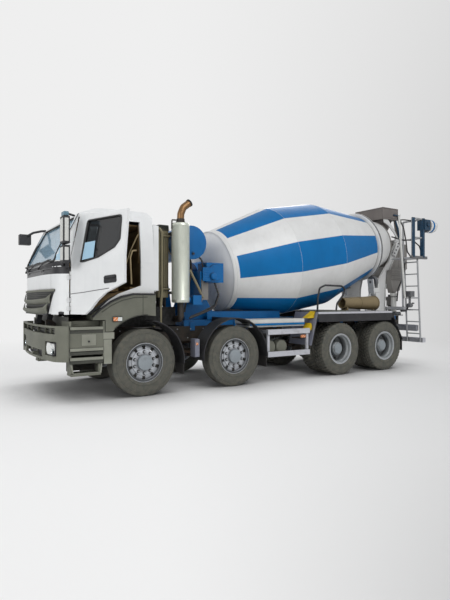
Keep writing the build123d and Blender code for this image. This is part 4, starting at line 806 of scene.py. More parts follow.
class Skin:
    """The outer surface of some solids, for seating pieces on it."""

    def __init__(self, *nodes: str) -> None:
        """Reads the solids' faces.

        Args:
            nodes: The solids' names.
        """
        corners: list[Vector] = []
        faces: list[tuple[int, ...]] = []
        for node in nodes:
            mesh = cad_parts[node].data
            start = len(corners)
            corners += [v.co.copy() for v in mesh.vertices]
            faces += [tuple(start + i for i in f.vertices) for f in mesh.polygons]
        self.tree = BVHTree.FromPolygons(corners, faces)

    def hit(self, origin: Point, way: Point, default: float = 0.0) -> Vector:
        """Returns where a ray first meets the skin, or the point at the default distance where it misses."""
        found = self.tree.ray_cast(Vector(origin), unit(Vector(way)))[0]
        return found if found is not None else Vector(origin) + unit(Vector(way)) * default

    def front(self, y: float, z: float, proud: float = 0.0) -> Vector:
        """Returns the skin's foremost point at a width and a height, moved forward by proud."""
        return self.hit((3.0, y, z), (-1, 0, 0), 1.6) + Vector((proud, 0, 0))


# ---------------------------------------------------------------- wheels
@dataclass
class Tyre:
    """A truck tyre on its node's axis, with a ribbed or a lugged tread."""

    centre: Vector
    radius: float
    width: float
    lugged: bool = False
    bead: float = 0.286
    tread_depth: float = 0.013
    ribs: int = 5
    lug_count: int = 44

    def section(self) -> list[tuple[float, float]]:
        """Returns the casing's outer and inner section as (radius, along) points."""
        half, top, bead = self.width / 2, self.radius, self.bead
        base = top - self.tread_depth
        wall = [(bead, 0.118), (bead + 0.012, 0.124), (bead + 0.022, half - 0.026),
                (bead + 0.04, half - 0.01), (bead + 0.058, half - 0.003), (bead + 0.062, half + 0.001),
                (bead + 0.072, half + 0.001), (bead + 0.076, half - 0.003), (top - 0.15, half),
                (top - 0.11, half - 0.001), (top - 0.075, half - 0.005), (top - 0.07, half - 0.002),
                (top - 0.06, half - 0.003), (top - 0.056, half - 0.008), (top - 0.03, half - 0.016)]
        edge = half - 0.034
        if self.lugged:
            tread = [(base - 0.004, half - 0.022), (base, edge), (base, 0.0)]
        else:
            tread = [(top - 0.012, half - 0.024), (top - 0.002, edge)]
            pitch = 2 * edge / self.ribs
            for i in range(self.ribs // 2):
                mid = edge - pitch * (i + 1)
                tread += [(top, mid + 0.008), (base, mid + 0.005), (base, mid - 0.005), (top, mid - 0.008)]
            tread.append((top, 0.0))
        outer = wall + tread
        outer += [(r, -a) for r, a in reversed(outer) if a > 1e-9]
        inner = [(self.bead + 0.002, -0.094), (top - 0.1, -half + 0.02), (top - 0.04, 0.0),
                 (top - 0.1, half - 0.02), (self.bead + 0.002, 0.094)]
        return outer + inner

    def lugs(self, shape: Shape) -> None:
        """Adds the blocks of a traction tread: two staggered inner rows and two shoulder rows."""
        half, top, low = self.width / 2, self.radius, self.radius - self.tread_depth - 0.002
        step = 2 * math.pi / self.lug_count
        rows = ((0.07, half - 0.03, 0.4, 0.0, True), (0.006, 0.062, 0.34, 0.5, False))
        for side in (-1, 1):
            for start, stop, share, shift, shoulder in rows:
                for i in range(self.lug_count):
                    turn = step * (i + shift + 0.25 * (side > 0))
                    self.lug(shape, side, (start, stop), (low, top), turn, step * share, shoulder)

    def lug(self, shape: Shape, side: int, along: tuple[float, float], radii: tuple[float, float],
            turn: float, spread: float, shoulder: bool) -> None:
        """Adds one slanted tread block.

        Args:
            shape: The mesh that gets it.
            side: +1 for the left half of the tread, -1 for the right half.
            along: Where it starts and stops across the tread.
            radii: Its lower and upper radius.
            turn: Its angle round the wheel.
            spread: Half its length as an angle.
            shoulder: Whether it runs down over the tyre's edge.
        """
        slant = 0.35 * spread
        corners = []
        for radius in radii:
            for reach, lean in ((along[0], -slant), (along[1], slant)):
                drop = 0.01 if shoulder and reach == along[1] else 0.0
                pair = (-spread, spread) if reach == along[0] else (spread, -spread)
                for angle in pair:
                    a = turn + lean + angle * (1.0 if radius == radii[0] else 0.9)
                    r = radius - drop
                    corners.append(self.centre + Vector((r * math.cos(a), side * reach, r * math.sin(a))))
        shape.wedge(corners)
        if shoulder:
            reach, out = along[1], self.width / 2 - 0.004
            corners = []
            for radius, depth in ((radii[1] - 0.062, out - 0.006), (radii[1] - 0.01, reach)):
                for angle, lift in ((-spread, 0.0), (spread, 0.0), (spread, 0.007), (-spread, 0.007)):
                    a = turn + slant + angle * 0.8
                    r = radius + (lift if depth == reach else 0.0)
                    corners.append(self.centre + Vector((r * math.cos(a), side * (depth + lift * 0.9),
                                                         r * math.sin(a))))
            shape.wedge(corners)

    def add(self, shape: Shape) -> None:
        """Adds the tyre to a mesh."""
        shape.lathe(self.section(), self.centre, (0, 1, 0), 96)
        if self.lugged:
            self.lugs(shape)


@dataclass
class WheelNuts:
    """A ring of flanged hexagon nuts on their studs."""

    centre: Vector
    out: float
    face: float
    count: int = 10
    pitch_radius: float = 0.1675
    size: float = 0.0175

    def add(self, shape: Shape) -> None:
        """Adds the nuts to a mesh, facing out along the wheel's axis from face."""
        way = Vector((0, self.out, 0))
        washer = [(0, 0), (0.0265, 0), (0.0265, 0.004), (0.021, 0.008), (0, 0.008)]
        for i in range(self.count):
            a = 2 * math.pi * (i + 0.5) / self.count
            seat = self.centre + Vector((self.pitch_radius * math.cos(a), self.face * self.out,
                                         self.pitch_radius * math.sin(a)))
            # the washers are near-black: painted shade round each nut
            shape.use(Paint.BLACK)
            shape.lathe(washer, seat, way, 16, False)
            shape.use(Paint.NUT)
            shape.rod(seat, seat + way * 0.03, self.size, 6, 0.002)
            shape.rod(seat, seat + way * 0.04, self.size * 0.55, 10, 0.002)


@dataclass
class Wheels:
    """All the wheels: treaded tyres over the plain casings, and the nuts, rings and caps on the rims."""

    sides: tuple[tuple[str, int], ...] = (("left", 1), ("right", -1))
    lip: Outline = ((0.296, 0.118), (0.303, 0.12), (0.309, 0.128), (0.309, 0.133), (0.302, 0.1345),
                    (0.296, 0.132))
    inner_lip: Outline = ((0.272, 0.126), (0.299, 0.1335), (0.299, 0.1365), (0.286, 0.1355), (0.272, 0.13))
    flange: Outline = ((0.118, 0.086), (0.198, 0.082), (0.204, 0.088), (0.204, 0.096), (0.197, 0.101),
                       (0.118, 0.105))
    front_cap: Outline = ((0.117, 0.1), (0.1205, 0.112), (0.1205, 0.15), (0.116, 0.158), (0.108, 0.1605),
                          (0.0, 0.1615))
    rear_cap: Outline = ((0.133, 0.08), (0.134, 0.205), (0.128, 0.214), (0.112, 0.222), (0.108, 0.243),
                         (0.1, 0.25), (0.072, 0.254), (0.0, 0.254))

    def front(self, side: str, out: int, axle: int) -> None:
        """Dresses one steered wheel.

        Args:
            side: left or right.
            out: +1 on the left, -1 on the right.
            axle: 1 or 2.
        """
        body = f"wheel_front_{side}_{axle}"
        node = f"tyre_front_{side}_{axle}"
        low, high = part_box(node)
        centre = (low + high) / 2
        tyre = Shape(Paint.RUBBER)
        Tyre(centre, (high.z - low.z) / 2, high.y - low.y).add(tyre)
        tyre.piece(f"road_{node}", body, [node], 30)
        rim = f"rim_front_{side}_{axle}"
        dress(rim, Paint.RIM)
        disc = Skin(rim)
        fittings = Shape(Paint.RIM)
        way = Vector((0, out, 0))
        fittings.lathe(self.lip, centre, way, 64)
        fittings.lathe(self.flange, centre, way, 64)
        # the inner lip ring is dark grey: painted shade in the rim's well
        fittings.use(Paint.WELL)
        fittings.lathe(self.inner_lip, centre, way, 64)
        fittings.use(Paint.HUB)
        fittings.lathe(self.front_cap, centre, way, 48, False)
        WheelNuts(centre, out, 0.1).add(fittings)
        # black discs in the rim's vent holes: painted shade seen through them
        fittings.use(Paint.BLACK)
        for i in range(10):
            a = math.radians(18 + 36 * i)
            spoke = Vector((math.cos(a), 0, math.sin(a)))
            vent = centre + spoke * 0.247
            vent.y = disc.hit(vent + spoke * 0.012 + way * 0.4, -way).y - out * 0.01
            fittings.rod(vent, vent + way * 0.0125, 0.029, 20)
        fittings.rod(centre + Vector((0.262, out * 0.09, 0)),
                     centre + Vector((0.285, out * 0.125, 0)), 0.004, 8)
        fittings.piece(f"wheel_fittings_{side}_{axle}", body, smooth=30)

    def rear(self, side: str, out: int, axle: int) -> None:
        """Dresses one twin wheel.

        Args:
            side: left or right.
            out: +1 on the left, -1 on the right.
            axle: 1 or 2.
        """
        body = f"wheel_rear_{side}_{axle}"
        node = f"tyres_rear_{side}_{axle}"
        low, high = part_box(node)
        centre = (low + high) / 2
        radius, width = (high.z - low.z) / 2, 0.312
        pitch = (high.y - low.y) - width
        pair = Shape(Paint.RUBBER)
        for place in (-pitch / 2, pitch / 2):
            Tyre(centre + Vector((0, place, 0)), radius, width, True).add(pair)
        pair.piece(f"road_{node}", body, [node], 30)
        dress(f"rims_rear_{side}_{axle}", Paint.DEEP_RIM)
        fittings = Shape(Paint.RIM)
        way = Vector((0, out, 0))
        fittings.lathe(self.lip, centre + way * (pitch / 2), way, 64)
        fittings.use(Paint.HUB)
        fittings.lathe(self.rear_cap, centre, way, 48, False)
        for i in range(8):
            a = 2 * math.pi * i / 8
            seat = centre + Vector((0.12 * math.cos(a), out * 0.216, 0.12 * math.sin(a)))
            fittings.rod(seat, seat + way * 0.012, 0.009, 6, 0.001)
        WheelNuts(centre, out, 0.044).add(fittings)
        fittings.piece(f"wheel_fittings_rear_{side}_{axle}", body, smooth=30)

    def build(self) -> None:
        """Dresses all eight wheels and what carries them."""
        for side, out in self.sides:
            for axle in (1, 2):
                self.front(side, out, axle)
                self.rear(side, out, axle)
                dress(f"knuckle_{side}_{axle}", Paint.RUNNING)
        for axle in (1, 2):
            dress(f"tie_rod_{axle}", Paint.RUNNING)
        dress("front_axles", Paint.RUNNING)
        dress("rear_axles", Paint.RUNNING)


# ---------------------------------------------------------------- drum
@dataclass
class Drum:
    """The mixing drum: a striped shell of rolled cones, with its white front dish, neck and track ring."""

    tilt: float = 10.0
    bands: int = 12
    steps_per_band: int = 8
    ring_steps: int = 120
    first_band: float = -13.0
    stripe_start: float = 0.115
    wall: float = 0.012
    profile: tuple[tuple[float, float], ...] = ((0.0, 0.78), (1.38, 1.14), (2.62, 1.14), (4.78, 0.56))
    dish: float = 0.21
    dish_rows: int = 8
    nose: float = 0.2344
    ring: tuple[float, float, float] = (4.085, 4.175, 0.82)

    def __post_init__(self) -> None:
        """Finds the drum's axis from its solid's box."""
        a = math.radians(self.tilt)
        self.way = Vector((-math.cos(a), 0, math.sin(a)))
        across = Vector((self.way.z, 0, -self.way.x))
        low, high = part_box("drum")
        (_, belt), (start, stop) = self.profile[1], (self.profile[1][0], self.profile[2][0])
        # the belt's upper edge at the rear and lower edge at the front touch the box's top and bottom
        top = high.z - belt * across.z - stop * self.way.z
        bottom = low.z + belt * across.z - start * self.way.z
        front = high.x - self.nose * math.cos(a)
        self.origin = Vector((front, 0.0, (top + bottom) / 2))
        LOG.info("drum axis starts at x %.3f z %.3f", self.origin.x, self.origin.z)

    def radius(self, along: float) -> float:
        """Returns the shell's outer radius at a place along its axis."""
        for (a0, r0), (a1, r1) in zip(self.profile, self.profile[1:]):
            if along <= a1:
                return r0 + (r1 - r0) * (along - a0) / (a1 - a0)
        return self.profile[-1][1]

    def point(self, along: float, radius: float, angle: float) -> Vector:
        """Returns a point from its place along the axis, its radius and its angle above the left side."""
        up = Vector((self.way.z, 0, -self.way.x))
        return self.origin + self.way * along + radius * (Vector((0, 1, 0)) * math.cos(angle)
                                                          + up * math.sin(angle))

    def stations(self) -> list[float]:
        """Returns the places along the axis where the shell gets a row of corners."""
        return [0.0, self.stripe_start, 0.7, 1.36, 1.38, 1.4, 2.0, 2.6, 2.62, 2.64, 3.3, self.ring[0] - 0.03,
                *self.ring[:2], 4.45, 4.78]

    def shell(self) -> Shape:
        """Returns the striped shell with its inner face and its front dish."""
        shape = Shape(Paint.DRUM_WHITE, Paint.DRUM_BLUE, Paint.INNER, Paint.DISH)
        blue, inside, dish = (shape.number(p) for p in (Paint.DRUM_BLUE, Paint.INNER, Paint.DISH))
        steps = self.bands * self.steps_per_band
        turns = [math.radians(self.first_band) + 2 * math.pi * i / steps for i in range(steps)]
        stops = self.stations()
        outer = [[shape.mesh.verts.new(self.point(a, self.radius(a), t)) for t in turns] for a in stops]
        inner = [[shape.mesh.verts.new(self.point(a, self.radius(a) - self.wall, t)) for t in turns]
                 for a in stops]
        faces = []
        for rows in (outer, inner):
            for k, (first, second) in enumerate(zip(rows, rows[1:])):
                striped = self.stripe_start <= stops[k] < self.ring[0] - 0.04
                for i in range(steps):
                    j = (i + 1) % steps
                    face = shape.mesh.faces.new((first[i], first[j], second[j], second[i]))
                    if rows is inner:
                        face.material_index = inside
                    elif striped and (i // self.steps_per_band) % 2 == 0:
                        face.material_index = blue
                    faces.append(face)
        for i in range(steps):
            j = (i + 1) % steps
            faces.append(shape.mesh.faces.new((outer[-1][i], outer[-1][j], inner[-1][j], inner[-1][i])))
        front = len(faces)
        ball = (self.profile[0][1] ** 2 + self.dish ** 2) / (2 * self.dish)
        previous = outer[0]
        for number in range(1, self.dish_rows):
            r = self.profile[0][1] * (1 - number / self.dish_rows)
            along = ball - self.dish - math.sqrt(ball ** 2 - r ** 2)
            row = [shape.mesh.verts.new(self.point(along, r, t)) for t in turns]
            faces += [shape.mesh.faces.new((previous[i], previous[(i + 1) % steps], row[(i + 1) % steps],
                                            row[i])) for i in range(steps)]
            previous = row
        faces.append(shape.mesh.faces.new(previous))
        for face in faces[front:]:
            face.material_index = dish
        bmesh.ops.recalc_face_normals(shape.mesh, faces=shape.mesh.faces)
        return shape

    def rings(self, shape: Shape) -> None:
        """Adds the raised front rim, the weld beads of the shell's seams and the track ring."""
        rim = [(0.775, -0.012), (0.792, -0.004), (0.802, 0.016), (0.806, 0.04), (0.8, 0.052), (0.79, 0.05)]
        shape.lathe(rim, self.origin, self.way, self.ring_steps)
        for seam, r in self.profile[1:-1]:
            bead = [(r - 0.004, seam - 0.003), (r + 0.001, seam - 0.001), (r + 0.001, seam + 0.001),
                    (r - 0.004, seam + 0.003)]
            shape.lathe(bead, self.origin, self.way, self.ring_steps)
        start, stop, top = self.ring
        low = self.radius(stop) - 0.004
        track = [(low, start - 0.02), (top - 0.012, start), (top, start + 0.01), (top, stop - 0.01),
                 (top - 0.012, stop), (low, stop + 0.012)]
        shape.lathe(track, self.origin, self.way, self.ring_steps)
        shape.use(Paint.GALVANISED)
        tread = [(top - 0.003, start + 0.018), (top + 0.0003, start + 0.02), (top + 0.0003, stop - 0.02),
                 (top - 0.003, stop - 0.018)]
        shape.lathe(tread, self.origin, self.way, self.ring_steps)
        shape.use(Paint.STEEL_GREY)
        mouth = [(0.548, 4.74), (0.566, 4.745), (0.574, 4.765), (0.574, 4.785), (0.562, 4.792),
                 (0.548, 4.785)]
        shape.lathe(mouth, self.origin, self.way, 96)

    def build(self) -> None:
        """Builds the drum's pieces."""
        shape = self.shell()
        self.rings(shape)
        shape.piece("striped_drum", "drum", ["drum"], 12)
        for side in ("left", "right"):
            dress(f"roller_{side}", Paint.GALVANISED)


# ---------------------------------------------------------------- cab
@dataclass
class CabFront:
    """The cab's face: cowl with wipers, screen seal, corner panes, and the grille on the flap."""

    cowl_low: float = 1.986
    cowl_high: tuple[float, float] = (2.035, 2.088)
    half_width: float = 1.148
    grille_top: float = 1.655
    grille_low: float = 1.285
    grille_half: tuple[float, float] = (1.01, 0.8)
    columns: int = 40
    profile: Outline = ((1.2, 1.4), (1.3, 1.41), (1.64, 1.44), (2.01, 1.405), (2.8, 1.015))
    front_x: float = 1.45
    sag: float = 0.085
    middle_half: float = 0.92
    corner_radius: float = 0.235

    def __post_init__(self) -> None:
        """Reads the surfaces that these pieces lie on."""
        self.skin = Skin("cab_front", "front_flap", "windscreen")

    def surface(self, y: float, z: float, proud: float) -> Vector:
        """Returns the point of the cab's face at a width and a height, moved forward by proud."""
        for (z0, x0), (z1, x1) in zip(self.profile, self.profile[1:]):
            if z <= z1:
                slope = x0 + (x1 - x0) * (z - z0) / (z1 - z0)
                break
        else:
            slope = self.profile[-1][1]
        beyond = (abs(y) - self.middle_half) / self.corner_radius
        if beyond > 0:
            corner = 1 - math.sqrt(max(0.0, 1 - beyond ** 2))
            bow = self.front_x - self.sag - self.corner_radius * corner
        else:
            bow = self.front_x - self.sag * (y / self.middle_half) ** 2
        guess = min(slope, bow)
        found = self.skin.front(y, z)
        x = found.x if abs(found.x - guess) < 0.03 else guess
        return Vector((x + proud, y, z))

    def across(self, low: Callable[[float], float], high: Callable[[float], float],
               half: Callable[[float], float], proud: Callable[[float, float], float],
               rows: int) -> list[list[Vector]]:
        """Gives rows of points over the cab's face.

        Args:
            low: The lower edge's height, by share of the half width.
            high: The upper edge's height, by share of the half width.
            half: The half width by share of the height.
            proud: How far forward, by share of the width and of the height.
            rows: How many rows.

        Returns:
            The rows, lowest first.
        """
        found = []
        for r in range(rows):
            v = r / (rows - 1)
            row = []
            for c in range(self.columns + 1):
                u = 2 * c / self.columns - 1
                z = low(abs(u)) + (high(abs(u)) - low(abs(u))) * v
                row.append(self.surface(u * half(v), z, proud(abs(u), v)))
            found.append(row)
        return found

    def cowl(self) -> None:
        """Builds the black cowl below the screen with its wipers."""
        shape = Shape(Paint.BLACK_TRIM)
        edge, crown = self.cowl_high
        rows = self.across(lambda u: self.cowl_low, lambda u: edge + (crown - edge) * u ** 2,
                           lambda v: self.half_width,
                           lambda u, v: 0.0012 + 0.016 * math.sin(math.pi * max(0.0, v - 0.2) / 0.8), 11)
        shape.sheet(rows, -0.004)
        for i in range(9):
            y = -0.48 + 0.12 * i
            shape.tube([self.surface(y + dy, 2.028, 0.016) for dy in (-0.045, 0.045)], 0.0045, 0, 8)
        shape.piece("screen_cowl", "cab", smooth=40)
        wipers = Shape(Paint.BLACK_TRIM)
        for pivot, tip, reach in ((0.32, 0.86, 0.36), (-0.42, 0.12, 0.36), (-0.98, -0.45, 0.33)):
            foot = self.surface(pivot, 2.005, 0.018)
            elbow = self.surface((pivot + tip) / 2 - 0.06, 2.085, 0.032)
            wipers.rod(foot - Vector((0.01, 0, 0)), foot + Vector((0.018, 0, 0.004)), 0.019, 16, 0.003)
            wipers.tube([foot + Vector((0.01, 0, 0)), elbow], 0.008, 0, 8)
            middle = (pivot + tip) / 2 - 0.06
            blade = [self.surface(middle + reach * (k / 6 - 0.5) * 1.7, 2.092 + 0.004 * k, 0.02)
                     for k in range(7)]
            wipers.tube(blade, 0.0075, 0, 8)
            wipers.tube([p + Vector((0.01, 0, 0.004)) for p in blade[1:-1]], 0.005, 0, 8)
        wipers.piece("wipers", "cab", smooth=30)

    def seal(self) -> None:
        """Builds the rubber seal round the windscreen."""
        shape = Shape(Paint.SEAL)
        base, head, wide, narrow, bend = 2.08, 2.74, 1.01, 0.96, 0.06
        path = []
        for cy, cz, start in ((wide - bend, base + bend, -90), (narrow - bend, head - bend, 0),
                              (-narrow + bend, head - bend, 90), (-wide + bend, base + bend, 180)):
            path += [self.surface(y, z, 0.004) for y, z in arc((cy, cz), bend, start, start + 90, 4)]
        dense: list[Vector] = []
        for first, second in zip(path, path[1:] + path[:1]):
            spans = max(1, int((second - first).length / 0.12))
            for k in range(spans):
                p = first.lerp(second, k / spans)
                dense.append(self.surface(p.y, p.z, 0.004))
        shape.tube(dense + dense[:1], 0.014, 0, 8, False)
        shape.piece("screen_seal", "cab", smooth=60)

    def corners(self) -> None:
        """Builds the dark-edged corner panes that carry the screen's glass round to the pillars."""
        panes = Shape(Paint.CORNER_PANE)
        for side in (-1, 1):
            # the pale blue panes are a painted reflection; their edges are black trim
            for paint, reach, low, high, proud in ((Paint.CORNER_PANE, (1.012, 1.1), 2.095, 2.7, 0.003),
                                                   (Paint.BLACK_TRIM, (1.094, 1.136), 2.02, 2.79, 0.007)):
                panes.use(paint)
                rows = []
                for r in range(9):
                    z = low + (high - low) * r / 8
                    lean = 0.03 * r / 8
                    rows.append([self.surface(side * (reach[0] + (reach[1] - reach[0]) * c / 4 - lean), z,
                                              proud) for c in range(5)])
                panes.sheet(rows, -0.003)
        panes.piece("corner_panes", "cab", smooth=40)

    def grille_width(self, share: float) -> float:
        """Returns the grille's half width at a share of its height."""
        top, foot = self.grille_half
        return foot + (top - foot) * share

    def bar(self, shape: Shape, foot: float, height: float, out: float) -> None:
        """Adds one bar of the grille, whose ends turn up along the slanted sides.

        Args:
            shape: The mesh that gets it.
            foot: Where its lower edge lies, as a share of the grille's height.
            height: Its own height, as such a share.
            out: How far it bulges forward.
        """
        tall = self.grille_top - self.grille_low
        start = self.grille_low + tall * foot
        stop = start + tall * height

        def crest(u: float) -> float:
            """Returns the upper edge's height."""
            return stop + 0.03 * u ** 2 + 0.055 * max(0.0, (u - 0.84) / 0.16)

        def bulge(u: float, v: float) -> float:
            """Returns how far forward the bar lies."""
            return 0.012 + out * math.sin(math.pi * min(1, 0.25 + 0.75 * (1 - v))) * (1 - 0.55 * u ** 4)

        rows = self.across(lambda u: start + 0.03 * u ** 2, crest,
                           lambda v: self.grille_width(foot) + 0.01 + 0.05 * v, bulge, 7)
        shape.sheet(rows, -0.012)

    def grille(self) -> None:
        """Builds the grille: a dark ribbed panel with a top edge and two bars."""
        shape = Shape(Paint.OLIVE)
        top, low = self.grille_top, self.grille_low
        shape.use(Paint.BLACK_TRIM)
        shape.sheet(self.across(lambda u: low, lambda u: top + 0.012 * u ** 3, self.grille_width,
                                lambda u, v: 0.01, 5), -0.01)
        shape.use(Paint.OLIVE)
        shape.sheet(self.across(lambda u: top - 0.018, lambda u: top + 0.014, lambda v: self.grille_half[0],
                                lambda u, v: 0.022, 3), -0.014)
        self.bar(shape, 0.405, 0.23, 0.05)
        self.bar(shape, 0.0, 0.26, 0.078)
        shape.use(Paint.GRILLE)
        for share in (0.72, 0.8, 0.88, 0.31, 0.36):
            half = self.grille_width(share) - 0.04
            line = [self.surface(half * (2 * c / 20 - 1), low + (top - low) * share, 0.02)
                    for c in range(21)]
            shape.tube(line, 0.006, 0, 8)
        shape.piece("grille", "flap", smooth=40)

    def build(self) -> None:
        """Builds the cab's face."""
        self.cowl()
        self.seal()
        self.corners()
        self.grille()
        dress("windscreen", Paint.SCREEN)
        for node, paint in (("cab_front", Paint.CAB_FACE), ("front_flap", Paint.CAB_FACE),
                            ("cab_roof", Paint.CAB), ("cab_sides", Paint.CAB)):
            dress(node, paint, 0.004)
        dress("cab_floor", Paint.BLACK_TRIM)


@dataclass
class Doors:
    """Handles, window seals, creases and linings of both doors, the left one in its open place."""

    hinge: tuple[float, float] = (1.154, 1.146)
    opened: float = 66.0
    outside: float = 0.004

    def place(self, left: bool) -> Matrix:
        """Returns the matrix from a door's own place to where it stands.

        The door's own place has X from its hinge to the rear, Y out of its skin and Z up.
        """
        angle = math.radians(-self.opened) if left else 0.0
        turn = Matrix.Rotation(angle, 4, "Z")
        shut = Matrix.Diagonal((-1, 1, 1, 1))
        stand = Matrix.Translation((self.hinge[0], self.hinge[1], 0)) @ turn @ shut
        return stand if left else Matrix.Diagonal((1, -1, 1, 1)) @ stand

    def lean(self, z: float) -> float:
        """Returns how far the door's skin lies out from the hinge line at a height."""
        return self.outside - 0.075 * max(0.0, z - 2.1) / 0.73

    def on(self, d: float, z: float, proud: float = 0.0) -> Vector:
        """Returns a point on the door's skin from its distance behind the hinge and its height."""
        return Vector((d, self.lean(z) + proud, z))

    def shape(self) -> Shape:
        """Returns the door's fittings in the door's own place."""
        shape = Shape(Paint.SEAL)
        window = [(0.224, 2.045), (0.314, 2.64), (0.984, 2.66), (0.984, 2.33), (0.894, 2.23), (0.594, 2.11)]
        path = [self.on(d, z, 0.001) for d, z in window]
        joint = path[-1].lerp(path[0], 0.5)
        rounded = rounded_path([joint, *path, joint], 0.05, 5)
        shape.tube(rounded, 0.012, 0, 8, False)
        shape.tube([self.on(0.235, 2.05, 0.002), self.on(0.325, 2.62, 0.002)], 0.017, 0, 8)
        # a pale blue patch on the window's front: a painted reflection
        shape.use(Paint.CORNER_PANE)
        glint = [(0.246, 2.078), (0.286, 2.325), (0.5, 2.34), (0.488, 2.108)]
        lean = [self.on(d, z, 0.0025) for d, z in glint]
        shape.wedge(lean + [p - Vector((0, 0.003, 0)) for p in lean])
        shape.use(Paint.BLACK_TRIM)
        recess = [(0.7, 1.762), (0.712, 1.738), (0.93, 1.752), (0.945, 1.775), (0.938, 1.842),
                  (0.922, 1.856), (0.718, 1.842), (0.704, 1.822)]
        shape.prism(recess, Axis.Y, self.outside - 0.004, self.outside + 0.004)
        shape.tube([self.on(0.722, 1.815, 0.012), self.on(0.928, 1.828, 0.012)], 0.014, 0, 10)
        shape.rod(self.on(0.83, 1.775, 0.0), self.on(0.83, 1.775, 0.008), 0.011, 14)
        # the crease is drawn as a dark rubber line: painted shade along the fold
        shape.use(Paint.SEAL)
        crease = [self.on(d, z, -0.001) for d, z in ((0.012, 1.6), (0.3, 1.622), (0.55, 1.648),
                                                     (0.8, 1.672))]
        shape.tube(crease, 0.0045, 0, 8)
        return shape

    def lining(self) -> Shape:
        """Returns the door's inner lining with its arm rest, in the door's own place."""
        shape = Shape(Paint.LINING)
        outline = [(0.1, 1.69), (0.93, 1.72), (1.03, 1.765), (1.03, 2.18), (0.88, 2.2), (0.594, 2.085),
                   (0.22, 2.02), (0.1, 2.0)]
        shape.prism(outline, Axis.Y, -0.048, -0.037)
        shape.prism([(0.3, 1.86), (0.86, 1.95), (0.86, 2.0), (0.3, 1.93)], Axis.Y, -0.095, -0.046)
        return shape

    def build(self) -> None:
        """Builds both doors' fittings."""
        for side in ("left", "right"):
            for shape, name, bevel in ((self.shape(), "door_fittings", 0.0),
                                       (self.lining(), "door_lining", 0.002)):
                shape.move(shape.mesh.verts, self.place(side == "left"))
                bmesh.ops.recalc_face_normals(shape.mesh, faces=shape.mesh.faces)
                shape.piece(f"{name}_{side}", f"{side}_door", bevel=bevel)
            dress(f"door_{side}", Paint.CAB, 0.003)
            dress(f"door_{side}_glass", Paint.DARK_PANE)


@dataclass
class Bumper:
    """The front bumper's fittings: lamps in their pockets, and the slots' dark backs with their bars."""

    slot_half: float = 1.08
    lamp: tuple[float, float, float, float] = (0.76, 1.09, 0.7, 0.9)

    def lamps(self) -> None:
        """Builds the headlamps and the tail lamps over their plain solids."""
        shape = Shape(Paint.HEADLAMP)
        y0, y1, z0, z1 = self.lamp
        front, rear = 1.395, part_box("lamps")[0].x
        bowls = ((0.1, 0.062, 0.052), (0.22, 0.062, 0.044), (0.14, 0.15, 0.034))
        for side in (-1, 1):
            inner, outer = sorted((side * (y0 + 0.012), side * (y1 - 0.012)))
            shape.use(Paint.BLACK_TRIM)
            shape.block((1.33, inner, z0 + 0.01), (1.345, outer, z1 - 0.01))
            for z in (z0 + 0.008, z1 - 0.014):
                shape.block((1.33, inner, z), (front, outer, z + 0.007))
            shape.use(Paint.HEADLAMP)
            rows = []
            for v in (r / 6 for r in range(7)):
                across = [inner + (outer - inner) * c / 12 for c in range(13)]
                crown = front + 0.012 * math.sin(math.pi * v)
                rows.append([(crown - 0.1 * ((abs(y) - y0) / (y1 - y0)) ** 2, y,
                              z0 + 0.012 + (z1 - z0 - 0.026) * v) for y in across])
            shape.sheet(rows, -0.006)
            shape.use(Paint.MIRROR)
            for dy, dz, r in bowls:
                seat = Vector((1.345, side * (y0 + dy), z0 + dz))
                bowl = [(r, 0.03), (r * 0.75, 0.01), (r * 0.3, 0.001), (0, 0.0), (0, 0.004),
                        (r * 0.3, 0.005), (r * 0.72, 0.014), (r * 0.94, 0.031)]
                shape.lathe(bowl, seat, (1, 0, 0), 28, False)
                shape.rod(seat + Vector((0.002, 0, 0)), seat + Vector((0.026, 0, 0)), r * 0.22, 12, 0.003)
            shape.use(Paint.BLACK_TRIM)
            shape.block((rear + 0.012, side * 0.62, 0.8), (rear + 0.06, side * 1.02, 0.93))
            for k, paint in enumerate((Paint.AMBER, Paint.RED, Paint.RED, Paint.RED)):
                shape.use(paint)
                shape.block((rear + 0.002, side * (0.626 + 0.1 * k), 0.812),
                            (rear + 0.013, side * (0.714 + 0.1 * k), 0.918))
        shape.piece("lamp_units", "chassis", ["lamps"], bevel=0.002)

    def slots(self) -> None:
        """Builds the dark backs of the bumper's slots with their bars."""
        shape = Shape(Paint.BLACK_TRIM)
        shape.block((1.325, -self.slot_half, 1.005), (1.335, self.slot_half, 1.115))
        shape.block((1.36, -0.6, 0.645), (1.37, -0.07, 0.775))
        shape.block((1.36, 0.07, 0.645), (1.37, 0.6, 0.775))
        shape.use(Paint.GRILLE)
        shape.block((1.17, -1.11, 1.02), (1.182, 1.11, 1.262))
        shape.use(Paint.OLIVE)
        for y in (-0.86, -0.52, 0.0, 0.52, 0.86):
            shape.block((1.335, y - 0.014, 1.012), (1.372, y + 0.014, 1.108))
        for z in (1.04, 1.075):
            shape.block((1.332, -self.slot_half, z), (1.348, self.slot_half, z + 0.01))
        shape.piece("bumper_slots", "chassis", bevel=0.002)

    def build(self) -> None:
        """Builds the bumper's pieces."""
        self.lamps()
        self.slots()
        dress("front_bumper", Paint.OLIVE, 0.012)
        dress("entry_steps", Paint.OLIVE, 0.004)
        dress("cab_fenders", Paint.OLIVE, 0.004)


